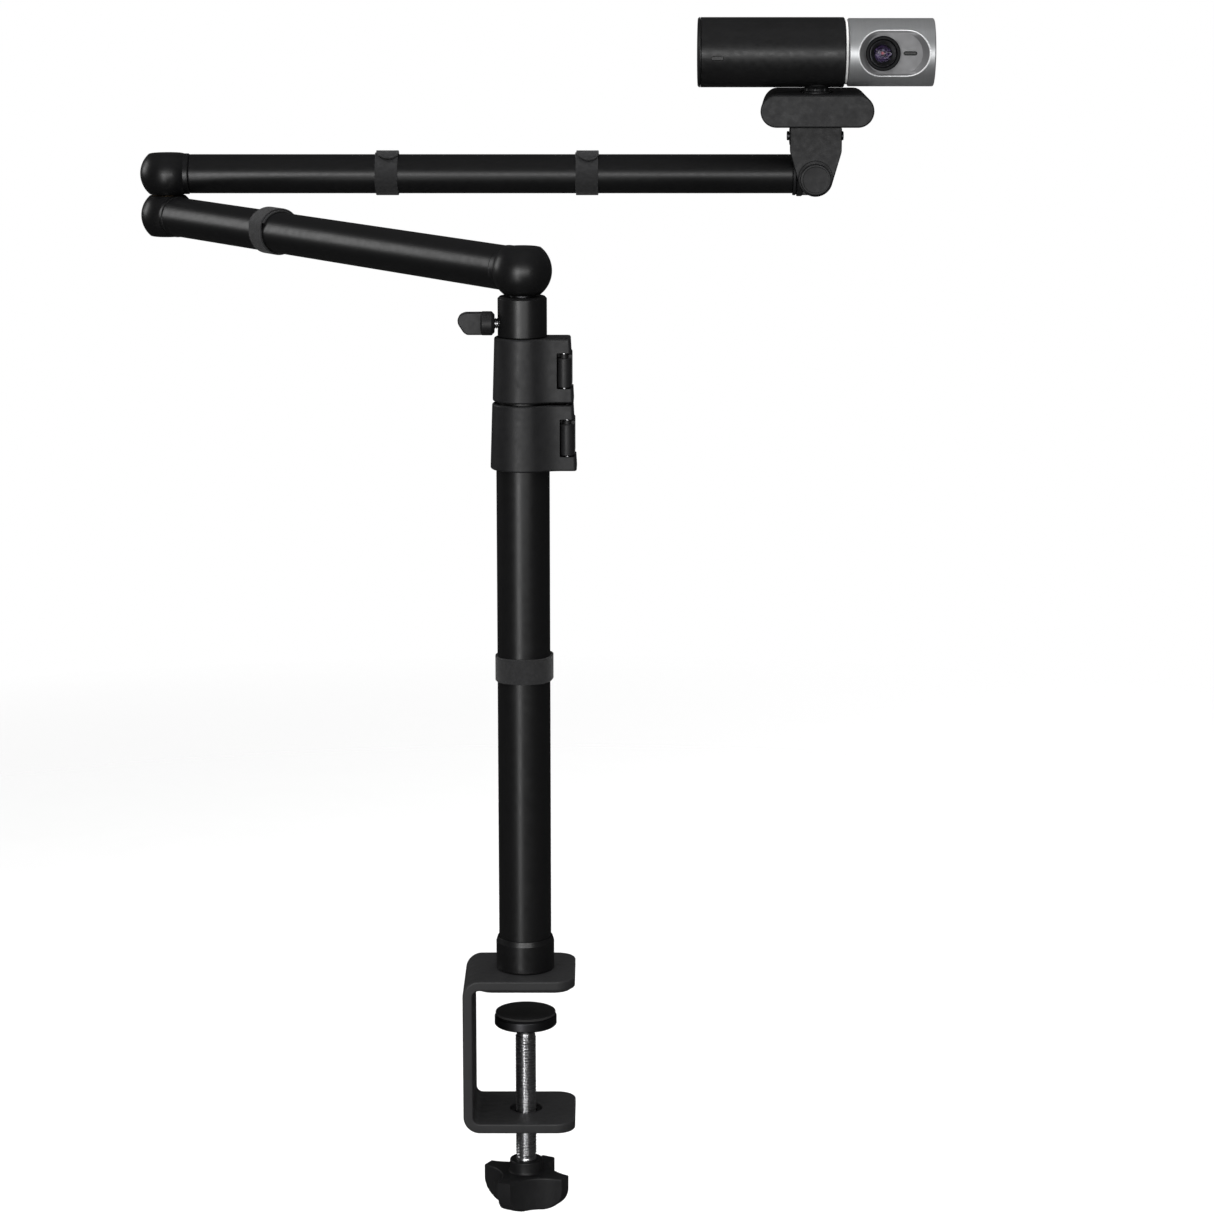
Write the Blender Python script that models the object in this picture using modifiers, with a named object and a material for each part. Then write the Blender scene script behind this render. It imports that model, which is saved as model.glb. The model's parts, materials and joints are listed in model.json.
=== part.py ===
"""Webcam on a desk-clamp arm: a telescopic mast, two swinging arms and a small tilting camera.

Metres, +Z up. The origin is on the mast's axis at the underside of the desk pad, the face that rests on
the desk. The viewer stands on the -Y side, and the upper arm runs along +X.
"""

import math

import bmesh
import bpy
from mathutils import Matrix, Vector
from mathutils.geometry import interpolate_bezier

MM = 0.001
GAP = 0.3 * MM  # clearance between neighbouring pieces
ROUND = 24  # sides of a large turned piece
SMALL = 12  # sides of a small turned piece
BODY_SIDES = 32  # sides of the camera's housings

# Clamp
PLATE_T = 4.8 * MM
PLATE_TOP = 6.0 * MM
PLATE_HALF = 24.0 * MM
WALL_X = -29.5 * MM  # outer face of the back wall
BEND_R = 8.0 * MM
THROAT = 65.2 * MM  # desk face down to the lower jaw
PAD_T = 0.9 * MM
BOARD_T = 16.0 * MM  # thickness of the board that the jaws hold
SCREW_R = 5.0 * MM
KNOB_R = 22.0 * MM
KNOB_TOP = -97.0 * MM
KNOB_BOTTOM = -113.5 * MM
KNOB_TURN = math.radians(61)

# Mast
WALL = 1.2 * MM
LOWER_R = 12.5 * MM
MID_R = 11.0 * MM
UPPER_R = 9.5 * MM
LOWER_LOCK_Z = 249.3 * MM
UPPER_LOCK_Z = 281.2 * MM
LOWER_LOCK_H = 30.9 * MM
UPPER_LOCK_H = 29.9 * MM
COLLAR_R = 11.46 * MM
COLLAR_BOTTOM = 311.4 * MM
COLLAR_TOP = 330.0 * MM
THUMB_Z = 317.3 * MM

# Arms
ARM_R = 10.45 * MM
ARM_WALL = 1.25 * MM
SPIGOT_R = 8.9 * MM
NECK_R = 10.9 * MM  # short neck between a ball and its tube
NECK_END = 12.2 * MM
SHOULDER_R = 13.9 * MM
ELBOW_R = 14.4 * MM
FLAT = 10.95 * MM  # half height of a ball between its flats
SHOULDER_Z = 341.8 * MM
ELBOW_RISE = 22.35 * MM
LOWER_ARM = 340.0 * MM
LOWER_ARM_TURN = math.radians(125.5)
UPPER_TUBE_END = 336.3 * MM
TILT_X = 348.1 * MM  # elbow axis to tilt axis
STRAP_W = 12.0 * MM
STRAP_T = 1.3 * MM

# Camera mount, measured from the tilt axis at the upper arm's tube centre
TILT_DROP = 1.75 * MM
LEG_FRONT = -17.3 * MM
LEG_T = 5.2 * MM
LEG_HALF = 13.75 * MM
CLIP_AXIS = Vector((0, -7.3 * MM, 20.85 * MM))
PAN_Y = -14.8 * MM
CLIP_BOTTOM = 26.25 * MM
CLIP_H = 17.2 * MM
CLIP_L = 60.5 * MM

# Camera
CAMERA_Z = 65.35 * MM
BODY_R = 18.4 * MM
BODY_LEFT = -63.2 * MM
BODY_RIGHT = 14.3 * MM
HEAD_R = 17.9 * MM
HEAD_LEFT = 16.1 * MM
HEAD_RIGHT = 61.7 * MM
WINDOW_X = 39.9 * MM
WINDOW_L = 37.2 * MM
WINDOW_H = 23.7 * MM
FLOOR_Y = -13.2 * MM
LENS_X = 34.0 * MM

FINISHES = {
    "satin_black": ((0.012, 0.012, 0.013), 0.32, 0.0),
    "powder_black": ((0.035, 0.035, 0.036), 0.55, 0.0),
    "moulded_black": ((0.028, 0.028, 0.029), 0.6, 0.0),
    "rubber": ((0.02, 0.02, 0.02), 0.85, 0.0),
    "webbing": ((0.03, 0.03, 0.031), 0.95, 0.0),
    "steel": ((0.62, 0.62, 0.63), 0.25, 1.0),
    "dark_steel": ((0.12, 0.12, 0.125), 0.4, 1.0),
    "brass": ((0.6, 0.45, 0.2), 0.35, 1.0),
    "nylon": ((0.75, 0.75, 0.72), 0.5, 0.0),
    "silver": ((0.55, 0.56, 0.57), 0.33, 1.0),
    "grey": ((0.3, 0.3, 0.31), 0.45, 0.0),
    "gloss_black": ((0.006, 0.006, 0.007), 0.12, 0.0),
    "glass": ((0.05, 0.03, 0.09), 0.04, 0.0),
    "board": ((0.02, 0.12, 0.06), 0.5, 0.0),
}


def new_collection(name):
    found = bpy.data.collections.new(name)
    bpy.context.scene.collection.children.link(found)
    return found


def clear_scene():
    for obj in list(bpy.data.objects):
        bpy.data.objects.remove(obj, do_unlink=True)


clear_scene()
PARTS = new_collection("webcam_clamp_arm")
CUTTERS = new_collection("cutters")


# ---------- helpers ----------


def turn_to(direction):
    """The rotation that lays a piece's own Z along X, Y or Z."""
    turns = {
        "Z": Matrix(),
        "X": Matrix.Rotation(math.pi / 2, 4, "Y"),
        "Y": Matrix.Rotation(-math.pi / 2, 4, "X"),
    }
    return turns[direction]


def in_mm(points):
    """Points given in millimetres, as metres."""
    return [(x * MM, y * MM) for x, y in points]


def put(name, mesh, at=(0, 0, 0), along="Z", parent=None):
    """A visible object that holds this mesh."""
    obj = bpy.data.objects.new(name, mesh)
    PARTS.objects.link(obj)
    obj.matrix_local = Matrix.Translation(at) @ turn_to(along)
    obj.parent = parent
    return obj


def as_cutter(obj):
    PARTS.objects.unlink(obj)
    CUTTERS.objects.link(obj)
    obj.hide_render = True
    obj.display_type = "WIRE"
    return obj


def paint(obj, finish):
    colour, roughness, metallic = FINISHES[finish]
    material = bpy.data.materials.new(obj.name)
    material.use_nodes = True
    shader = material.node_tree.nodes["Principled BSDF"]
    shader.inputs["Base Color"].default_value = (*colour, 1)
    shader.inputs["Roughness"].default_value = roughness
    shader.inputs["Metallic"].default_value = metallic
    obj.data.materials.append(material)
    return obj


def axis_at(name, at, parent=None, turn=0.0):
    """An empty on a joint's axis, which the moving pieces hang from."""
    empty = bpy.data.objects.new(name, None)
    PARTS.objects.link(empty)
    empty.empty_display_size = 10 * MM
    empty.matrix_local = Matrix.Translation(at) @ Matrix.Rotation(turn, 4, "Z")
    empty.parent = parent
    return empty


def turned(name, profile, at=(0, 0, 0), along="Z", parent=None, sides=ROUND, ring=False):
    """A turned piece: (radius, height) points, down the outer side from the top. A ring's profile closes."""
    mesh = bpy.data.meshes.new(name)
    count = len(profile)
    edges = [(i, (i + 1) % count) for i in range(count if ring else count - 1)]
    mesh.from_pydata([(r, 0, z) for r, z in profile], edges, [])
    obj = put(name, mesh, at, along, parent)
    screw = obj.modifiers.new("turn", "SCREW")
    screw.axis = "Z"
    screw.steps = screw.render_steps = sides
    screw.use_merge_vertices = True
    screw.merge_threshold = 1e-6
    screw.use_smooth_shade = False
    return obj


def rod(name, radius, top, bottom, at=(0, 0, 0), along="Z", parent=None, sides=SMALL):
    profile = [(0, top), (radius, top), (radius, bottom), (0, bottom)]
    return turned(name, profile, at, along, parent, sides)


def tube(name, outer, inner, top, bottom, at=(0, 0, 0), along="Z", parent=None, sides=ROUND):
    profile = [(outer, top), (outer, bottom), (inner, bottom), (inner, top)]
    return turned(name, profile, at, along, parent, sides, ring=True)


def box(name, low, high, at=(0, 0, 0), parent=None):
    bm = bmesh.new()
    bmesh.ops.create_cube(bm, size=1)
    low, high = Vector(low), Vector(high)
    bmesh.ops.scale(bm, vec=high - low, verts=bm.verts)
    bmesh.ops.translate(bm, vec=(low + high) / 2, verts=bm.verts)
    mesh = bpy.data.meshes.new(name)
    bm.to_mesh(mesh)
    bm.free()
    return put(name, mesh, at, "Z", parent)


def extruded(name, outline, bottom, top, at=(0, 0, 0), along="Z", parent=None, holes=()):
    """A flat outline, less its holes, in the piece's own XY plane, from bottom to top, as a mesh."""
    curve = bpy.data.curves.new(name, "CURVE")
    curve.dimensions = "2D"
    curve.fill_mode = "BOTH"
    curve.extrude = (top - bottom) / 2
    for loop in (outline, *holes):
        spline = curve.splines.new("POLY")
        spline.points.add(len(loop) - 1)
        for point, (x, y) in zip(spline.points, loop):
            point.co = (x, y, 0, 1)
        spline.use_cyclic_u = True
    shape = put(name + "_outline", curve)
    mesh = bpy.data.meshes.new_from_object(shape.evaluated_get(bpy.context.evaluated_depsgraph_get()))
    bpy.data.objects.remove(shape)
    bm = bmesh.new()
    bm.from_mesh(mesh)
    bmesh.ops.remove_doubles(bm, verts=bm.verts, dist=1e-6)
    bmesh.ops.dissolve_limit(bm, angle_limit=1e-4, verts=bm.verts, edges=bm.edges)
    bmesh.ops.translate(bm, vec=(0, 0, (top + bottom) / 2), verts=bm.verts)
    bmesh.ops.recalc_face_normals(bm, faces=bm.faces)
    bm.to_mesh(mesh)
    bm.free()
    mesh.name = name
    return put(name, mesh, at, along, parent)


def combine(obj, other, operation="DIFFERENCE"):
    """Cuts, joins or keeps the common part with another object, which becomes a cutter."""
    modifier = obj.modifiers.new(operation.lower() + "_" + other.name, "BOOLEAN")
    modifier.operation = operation
    modifier.object = as_cutter(other)
    return obj


def soften(obj, width, segments=2, angle=40):
    bevel = obj.modifiers.new("soften", "BEVEL")
    bevel.width = width
    bevel.segments = segments
    bevel.limit_method = "ANGLE"
    bevel.angle_limit = math.radians(angle)
    return obj


def arc(centre, radius, start, end, steps):
    """Points along an arc, angles in degrees."""
    turns = [math.radians(start + (end - start) * i / steps) for i in range(steps + 1)]
    return [(centre[0] + radius * math.cos(t), centre[1] + radius * math.sin(t)) for t in turns]


def blend(start, start_handle, end_handle, end, steps):
    knots = [Vector((*p, 0)) for p in (start, start_handle, end_handle, end)]
    return [(p.x, p.y) for p in interpolate_bezier(*knots, steps + 1)]


def round_box(half_x, half_y, radius, steps=5, centre=(0, 0)):
    points = []
    for corner, (sx, sy) in enumerate(((1, 1), (-1, 1), (-1, -1), (1, -1))):
        middle = (centre[0] + sx * (half_x - radius), centre[1] + sy * (half_y - radius))
        points += arc(middle, radius, 90 * corner, 90 * corner + 90, steps)
    return points


def stadium(length, height, steps=9, centre=(0, 0)):
    half = (length - height) / 2
    right = arc((centre[0] + half, centre[1]), height / 2, -90, 90, steps)
    left = arc((centre[0] - half, centre[1]), height / 2, 90, 270, steps)
    return right + left


def strip(path, width):
    """The outline of a strip of this width along a path."""
    left, right = [], []
    for i, point in enumerate(path):
        ahead = Vector(path[min(i + 1, len(path) - 1)]) - Vector(path[max(i - 1, 0)])
        side = Vector((-ahead.y, ahead.x)).normalized() * width / 2
        left.append(tuple(Vector(point) + side))
        right.append(tuple(Vector(point) - side))
    return left + right[::-1]


# ---------- clamp ----------


def clamp_frame():
    """One steel strip bent to a C, its corners rounded in plan."""
    inner_r = BEND_R - PLATE_T
    bend_x = WALL_X + BEND_R
    low = -THROAT - PLATE_T
    underside = PLATE_TOP - PLATE_T
    outline = [(PLATE_HALF, PLATE_TOP)]
    outline += arc((bend_x, PLATE_TOP - BEND_R), BEND_R, 90, 180, 6)
    outline += arc((bend_x, low + BEND_R), BEND_R, 180, 270, 6)
    outline += [(PLATE_HALF, low), (PLATE_HALF, -THROAT)]
    outline += arc((bend_x, low + BEND_R), inner_r, 270, 180, 4)
    outline += arc((bend_x, PLATE_TOP - BEND_R), inner_r, 180, 90, 4)
    outline += [(PLATE_HALF, underside)]
    # The outline's own Y stands up once its own Z lies along -Y.
    frame = extruded("clamp_frame", outline, -PLATE_HALF, PLATE_HALF)
    frame.matrix_local = Matrix.Rotation(math.pi / 2, 4, "X")
    reach = 12 * MM  # the plan outline passes the back wall, so only the free corners are rounded
    plan = round_box(PLATE_HALF + reach / 2, PLATE_HALF, 9 * MM, 6, (-reach / 2, 0))
    combine(frame, extruded("clamp_plan", plan, low - 5 * MM, PLATE_TOP + 5 * MM), "INTERSECT")
    soften(frame, 0.6 * MM)
    countersink = [(0, 9), (4.3, 9), (4.3, 5.4), (8.5, 1.2), (8.5, 0), (0, 0)]
    combine(frame, turned("countersink", in_mm(countersink), sides=SMALL))
    combine(frame, rod("nut_hole", 7.8 * MM, -THROAT + 5 * MM, low - 5 * MM))
    return paint(frame, "powder_black")


def clamp_group():
    clamp_frame()
    pad = round_box(22.4 * MM, 22.4 * MM, 8 * MM)
    paint(extruded("desk_pad", pad, 0, PAD_T, at=(-0.4 * MM, 0, 0)), "rubber")

    low = -THROAT - PLATE_T
    hexagon = arc((0, 0), 10 * MM, 0, 300, 5)
    nut = extruded("clamp_nut", hexagon, low - 5 * MM, low - GAP)
    combine(nut, rod("nut_spigot", 7.5 * MM, low + 3.8 * MM, low - 1 * MM), "UNION")
    combine(nut, rod("nut_bore", SCREW_R + GAP, low + 9 * MM, low - 9 * MM))
    paint(nut, "dark_steel")

    bolt = [(0, 15.5), (3.9, 15.5), (3.9, 5.3), (7.9, 1.5), (0, 1.5)]
    paint(turned("base_bolt", in_mm(bolt), sides=SMALL), "dark_steel")
    collar = [(13.9, 19.5), (13.9, 6.3), (4.2, 6.3), (4.2, 14.0), (12.8, 14.0), (12.8, 22.0), (13.1, 22.0)]
    paint(turned("base_collar", in_mm(collar), ring=True), "satin_black")


def clamp_screw_group():
    foot = axis_at("clamp_screw_axis", (0, 0, -BOARD_T))
    paint(rod("pressure_pad", 14.5 * MM, 0, -1.2 * MM, parent=foot, sides=ROUND), "rubber")
    disc = [(0, -1.5), (14.2, -1.5), (15, -2.3), (15, -6), (14.4, -6.6), (4.6, -6.6), (4.6, -2.9), (0, -2.9)]
    paint(turned("pressure_disc", in_mm(disc), parent=foot, sides=ROUND), "dark_steel")

    knob_drop = KNOB_TOP + BOARD_T
    tip = [(0, -3.2), (2.2, -3.2), (4, -4.4), (4, -6.2), (3.2, -7.2), (3.2, -9.5), (5, -11)]
    shank_end = (knob_drop + 6 * MM) / MM
    tail = [(5, shank_end + 1), (4, shank_end + 0.4), (4, shank_end - 14.5), (0, shank_end - 14.5)]
    screw = turned("clamp_screw", in_mm(tip + tail), parent=foot, sides=SMALL)
    paint(screw, "steel")

    wing_half = 3.5 * MM
    outline = []
    for k in range(4):
        turn = Matrix.Rotation(KNOB_TURN + k * math.pi / 2, 2)
        tip_a = (KNOB_R, -wing_half)
        tip_b = (KNOB_R, wing_half)
        valley = blend(tip_b, (11 * MM, 4.5 * MM), (4.5 * MM, 11 * MM), (wing_half, KNOB_R), 6)
        outline += [tuple(turn @ Vector(p)) for p in [tip_a] + valley[:-1]]
    knob = extruded("clamp_knob", outline, KNOB_BOTTOM + BOARD_T, knob_drop, parent=foot)
    bottom = KNOB_BOTTOM + BOARD_T
    dome = [(0, knob_drop + 1 * MM), (KNOB_R - 0.1 * MM, knob_drop + 1 * MM)]
    dome += arc((11 * MM, bottom + 10 * MM), KNOB_R - 11.1 * MM, 0, -90, 6)
    dome += [(0, dome[-1][1])]
    combine(knob, turned("knob_dome", dome, parent=foot), "INTERSECT")
    soften(knob, 0.9 * MM, 1, 50)
    combine(knob, rod("knob_hub", 8 * MM, knob_drop + 6 * MM, knob_drop - 4 * MM, parent=foot), "UNION")
    combine(knob, rod("knob_bore", 4.3 * MM, knob_drop + 9 * MM, knob_drop - 9.3 * MM, parent=foot))
    paint(knob, "moulded_black")


# ---------- mast ----------


def lock_outline(radius, ear_x, bore_r):
    """Round body with an ear to +X, split through the ear into the bore.

    The front face flows from the round body to the ear."""
    ear_front, ear_back, corner = -9.6 * MM, 8.0 * MM, 1.6 * MM
    back_turn = math.degrees(math.asin(ear_back / radius))
    body = arc((0, 0), radius, back_turn, 297, 20)
    last = Vector(body[-1])
    tangent = Vector((-last.y, last.x)).normalized()
    flow_end = Vector((ear_x - 6 * MM, ear_front))
    flow = blend(last, last + tangent * 5 * MM, flow_end - Vector((4 * MM, 0)), flow_end, 6)
    front = arc((ear_x - corner, ear_front + corner), corner, -90, 0, 4)
    back = arc((ear_x - corner, ear_back - corner), corner, 0, 90, 4)
    slit_low, slit_high = 2.2 * MM, 3.3 * MM
    low_turn = math.degrees(math.asin(slit_low / bore_r))
    high_turn = math.degrees(math.asin(slit_high / bore_r))
    bore = arc((0, 0), bore_r, low_turn, high_turn - 360, ROUND)
    return body + flow[1:] + front + [(ear_x, slit_low)] + bore + [(ear_x, slit_high)] + back


def flip_lock(prefix, bottom, height, radius, ear_x, tube_r, parent, axis_parent):
    """A split collar on the end of one tube, clamped on the next one by a lever on a pin."""
    notch_low, notch_high = bottom + 6.6 * MM, bottom + height - 6.6 * MM
    middle = bottom + height / 2
    notch_x = ear_x - 7.2 * MM
    pivot = Vector((ear_x - 3.7 * MM, -6.3 * MM))

    outline = lock_outline(radius, ear_x, tube_r + GAP)
    collar = extruded(prefix + "_collar", outline, bottom, bottom + height, parent=parent)
    for vertex in collar.data.vertices:
        if vertex.co.xy.length > tube_r + 1 * MM:
            taper = 1 + 0.033 * (middle - vertex.co.z) / (height / 2)
            vertex.co.x *= taper
            vertex.co.y *= taper
    soften(collar, 0.8 * MM, 1, 45)
    above = bottom + height + 5 * MM
    far = ear_x + 6 * MM
    core = ear_x - 3.4 * MM
    side, shelf = 14 * MM, -2.2 * MM
    pocket = [(notch_x, -side), (far, -side), (far, side), (core, side), (core, shelf), (notch_x, shelf)]
    combine(collar, extruded(prefix + "_pocket", pocket, notch_low, notch_high, parent=parent))
    pin_hole = rod(prefix + "_pin_hole", 1.5 * MM, above, bottom + 2 * MM, (*pivot, 0), "Z", parent, 16)
    combine(collar, pin_hole)
    bolt_x = notch_x + 1.9 * MM
    bolt_hole = rod(prefix + "_bolt_hole", 1.65 * MM, 20 * MM, -12 * MM, (bolt_x, 0, middle), "Y", parent, 16)
    combine(collar, bolt_hole)
    paint(collar, "moulded_black")

    pin_top = bottom + height - 0.2 * MM
    paint(rod(prefix + "_pin", 1.2 * MM, pin_top, bottom + 2.3 * MM, (*pivot, 0), "Z", parent, 16), "steel")
    bolt = [(0, 10.2), (1.8, 10.2), (1.8, 8.4), (1.35, 8.4), (1.35, -2.5), (0, -2.5)]
    paint(turned(prefix + "_bolt", in_mm(bolt), (bolt_x, 0, middle), "Y", parent, 16), "dark_steel")
    bush_top = bottom + height - 0.3 * MM
    bush = tube(prefix + "_bush", tube_r, tube_r - WALL, bush_top, bush_top - 7.6 * MM, parent=parent)
    paint(bush, "moulded_black")

    axis = axis_at(prefix + "_lever_axis", (*pivot, middle), axis_parent)
    half = (notch_high - notch_low) / 2 - 0.6 * MM
    reach = radius + 3.3 * MM
    start = Vector((2.1 * MM, 0))
    side = Vector((2.1 * MM, 15.8 * MM))
    back = Vector((-pivot.x, reach - pivot.y))
    path = [tuple(start)] + blend(side, side + Vector((0, 8 * MM)), back + Vector((9 * MM, 0)), back, 10)
    path += arc((-pivot.x, -pivot.y), reach, 94, 112, 3)
    lever = extruded(prefix + "_lever", strip(path, 3.2 * MM), -half, half, parent=axis)
    soften(lever, 0.5 * MM, 1, 50)
    combine(lever, rod(prefix + "_barrel", 3.3 * MM, half, -half, parent=axis), "UNION")
    pin_bore = rod(prefix + "_lever_bore", 1.5 * MM, half + 5 * MM, -half - 5 * MM, parent=axis, sides=16)
    combine(lever, pin_bore)
    paint(lever, "moulded_black")


def tube_plug(name, outer, bottom, parent):
    """Guide plug in the bottom end of a sliding tube."""
    inner = outer - WALL - GAP
    flange, spigot = bottom + 3 * MM, bottom + 12 * MM
    bore = 6 * MM
    profile = [(inner, spigot), (inner, flange), (outer, flange)]
    profile += [(outer, bottom), (bore, bottom), (bore, spigot)]
    paint(turned(name, profile, parent=parent, ring=True), "nylon")


def mast_group():
    lower_end = LOWER_LOCK_Z + LOWER_LOCK_H - 8.2 * MM
    paint(tube("lower_tube", LOWER_R, LOWER_R - WALL, lower_end, 14.3 * MM), "satin_black")
    mid = axis_at("mid_mast_axis", (0, 0, 0))
    upper = axis_at("upper_mast_axis", (0, 0, 0), mid)
    flip_lock("lower_lock", LOWER_LOCK_Z, LOWER_LOCK_H, 14.7 * MM, 24.5 * MM, LOWER_R, None, None)
    flip_lock("upper_lock", UPPER_LOCK_Z, UPPER_LOCK_H, 13.55 * MM, 23.2 * MM, MID_R, mid, mid)
    mid_end = UPPER_LOCK_Z + UPPER_LOCK_H - 8.2 * MM
    paint(tube("mid_tube", MID_R, MID_R - WALL, mid_end, 27.3 * MM, parent=mid), "satin_black")
    tube_plug("mid_tube_plug", MID_R, 24 * MM, mid)
    upper_end = COLLAR_BOTTOM - 0.4 * MM
    paint(tube("upper_tube", UPPER_R, UPPER_R - WALL, upper_end, 43.3 * MM, parent=upper), "satin_black")
    tube_plug("upper_tube_plug", UPPER_R, 40 * MM, upper)
    strap("mast_strap", LOWER_R, 154 * MM, (0, 0, 0), "Z", None)
    return upper


def strap(name, tube_r, middle, at, along, parent):
    """Hook-and-loop cable strap round a tube."""
    inner = tube_r + GAP
    band = tube(name, inner + STRAP_T, inner, middle + STRAP_W / 2, middle - STRAP_W / 2, at, along, parent)
    paint(band, "webbing")


def head_group(upper):
    """The socket on top of the mast and the thumb screw that locks the shoulder's spigot in it."""
    plug_r, bore_r = UPPER_R - WALL - GAP, 6.3 * MM
    profile = [
        (COLLAR_R - 1 * MM, COLLAR_TOP),
        (COLLAR_R, COLLAR_TOP - 1 * MM),
        (COLLAR_R, COLLAR_BOTTOM),
        (plug_r, COLLAR_BOTTOM),
        (plug_r, COLLAR_BOTTOM - 20 * MM),
        (0, COLLAR_BOTTOM - 20 * MM),
    ]
    collar = turned("head_collar", [(0, COLLAR_TOP)] + profile, parent=upper)
    combine(collar, rod("head_bore", bore_r, COLLAR_TOP + 5 * MM, 311.6 * MM, parent=upper))
    combine(collar, rod("thumb_hole", 2.8 * MM, -3 * MM, -16 * MM, (0, 0, THUMB_Z), "X", upper))
    paint(collar, "satin_black")

    thumb = axis_at("thumb_screw_axis", (0, 0, THUMB_Z), upper)
    paint(rod("thumb_screw_stud", 2.5 * MM, -5.8 * MM, -22 * MM, along="X", parent=thumb), "steel")
    hub = [(0, -12.9), (5.0, -12.9), (5.6, -13.5), (5.6, -18.9), (5.2, -19.3), (0, -19.3)]
    knob = turned("thumb_screw_knob", in_mm(hub), along="X", parent=thumb)
    # The wing's outline is in XZ: its own Y stands up once its own Z lies along -Y.
    wing = [(-16, -5.3), (-16, 5.3), (-26.5, 5.2), (-28.9, 4.2)]
    wing += [(-30.1, 2.0), (-29.8, -0.4), (-27.2, -4.3), (-25.6, -5.3)]
    wing = extruded("thumb_wing", in_mm(wing), -2.4 * MM, 2.4 * MM, parent=thumb)
    wing.matrix_local = Matrix.Rotation(math.pi / 2, 4, "X")
    soften(wing, 0.8 * MM)
    combine(knob, wing, "UNION")
    combine(knob, rod("thumb_bore", 2.8 * MM, -10 * MM, -22.3 * MM, along="X", parent=thumb))
    paint(knob, "moulded_black")


# ---------- arms ----------


def ball(name, radius, at, parent, heading):
    """A ball with flats above and below, and on one side a neck and the spigot that holds a tube."""
    tilt = math.degrees(math.asin(FLAT / radius))
    side = arc((0, 0), radius, tilt, -tilt, 8)
    obj = turned(name, [(0, FLAT)] + side + [(0, -FLAT)], at, parent=parent)
    reach = 28 * MM
    neck = [(0, reach), (SPIGOT_R, reach), (SPIGOT_R, NECK_END), (NECK_R - 0.4 * MM, NECK_END)]
    neck += [(NECK_R, NECK_END - 0.5 * MM), (NECK_R, 1 * MM), (0, 1 * MM)]
    collar = turned(name + "_neck", neck, at, "X", parent)
    if heading < 0:
        collar.matrix_local = Matrix.Translation(at) @ Matrix.Rotation(-math.pi / 2, 4, "Y")
    return combine(obj, collar, "UNION")


def lower_arm():
    arm = axis_at("shoulder_axis", (0, 0, SHOULDER_Z), turn=LOWER_ARM_TURN)
    shoulder = ball("shoulder_ball", SHOULDER_R, (0, 0, 0), arm, 1)
    combine(shoulder, rod("spigot_hole", 5.3 * MM, 3.5 * MM, -20 * MM, parent=arm))
    paint(shoulder, "satin_black")
    spigot = [(0, 3.2), (5, 3.2), (5, -10.9), (6, -11.4), (6, -20.6), (5.4, -21.2), (5.4, -27.6), (6, -28.2)]
    spigot += [(6, -29.4), (5.6, -29.8), (0, -29.8)]
    paint(turned("shoulder_spigot", in_mm(spigot), parent=arm, sides=SMALL), "steel")

    start = NECK_END + GAP
    end = LOWER_ARM - start
    paint(tube("lower_arm_tube", ARM_R, ARM_R - ARM_WALL, end, start, along="X", parent=arm), "satin_black")
    strap("lower_arm_strap", ARM_R, LOWER_ARM - 113 * MM, (0, 0, 0), "X", arm)

    at = (LOWER_ARM, 0, 0)
    elbow = ball("elbow_lower_ball", ELBOW_R, at, arm, -1)
    far, recess = 20 * MM, FLAT - 1 * MM
    hole = [(0, far), (8.7 * MM, far), (8.7 * MM, recess), (3.8 * MM, recess), (3.8 * MM, -5.5 * MM)]
    hole += [(6.5 * MM, -5.5 * MM), (6.5 * MM, -far), (0, -far)]
    combine(elbow, turned("lower_bolt_hole", hole, at, parent=arm))
    paint(elbow, "satin_black")
    top = ELBOW_RISE / MM + 8.5
    bolt = [(0, top), (3.4, top), (3.4, -5.8), (6.2, -5.8), (6.2, -9.6), (3.2, -9.6), (3.2, -7.4), (0, -7.4)]
    paint(turned("elbow_bolt", in_mm(bolt), at, parent=arm, sides=SMALL), "dark_steel")
    washer = tube("elbow_washer", 8.4 * MM, 3.9 * MM, FLAT + 0.2 * MM, FLAT - 0.7 * MM, at, parent=arm)
    paint(washer, "brass")
    nut_low = ELBOW_RISE + 4.6 * MM
    nut = extruded("elbow_nut", arc((0, 0), 5.9 * MM, 0, 300, 5), nut_low, nut_low + 3.6 * MM, at, parent=arm)
    combine(nut, rod("elbow_nut_bore", 3.7 * MM, nut_low + 9 * MM, nut_low - 9 * MM, at, parent=arm))
    paint(nut, "steel")


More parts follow.
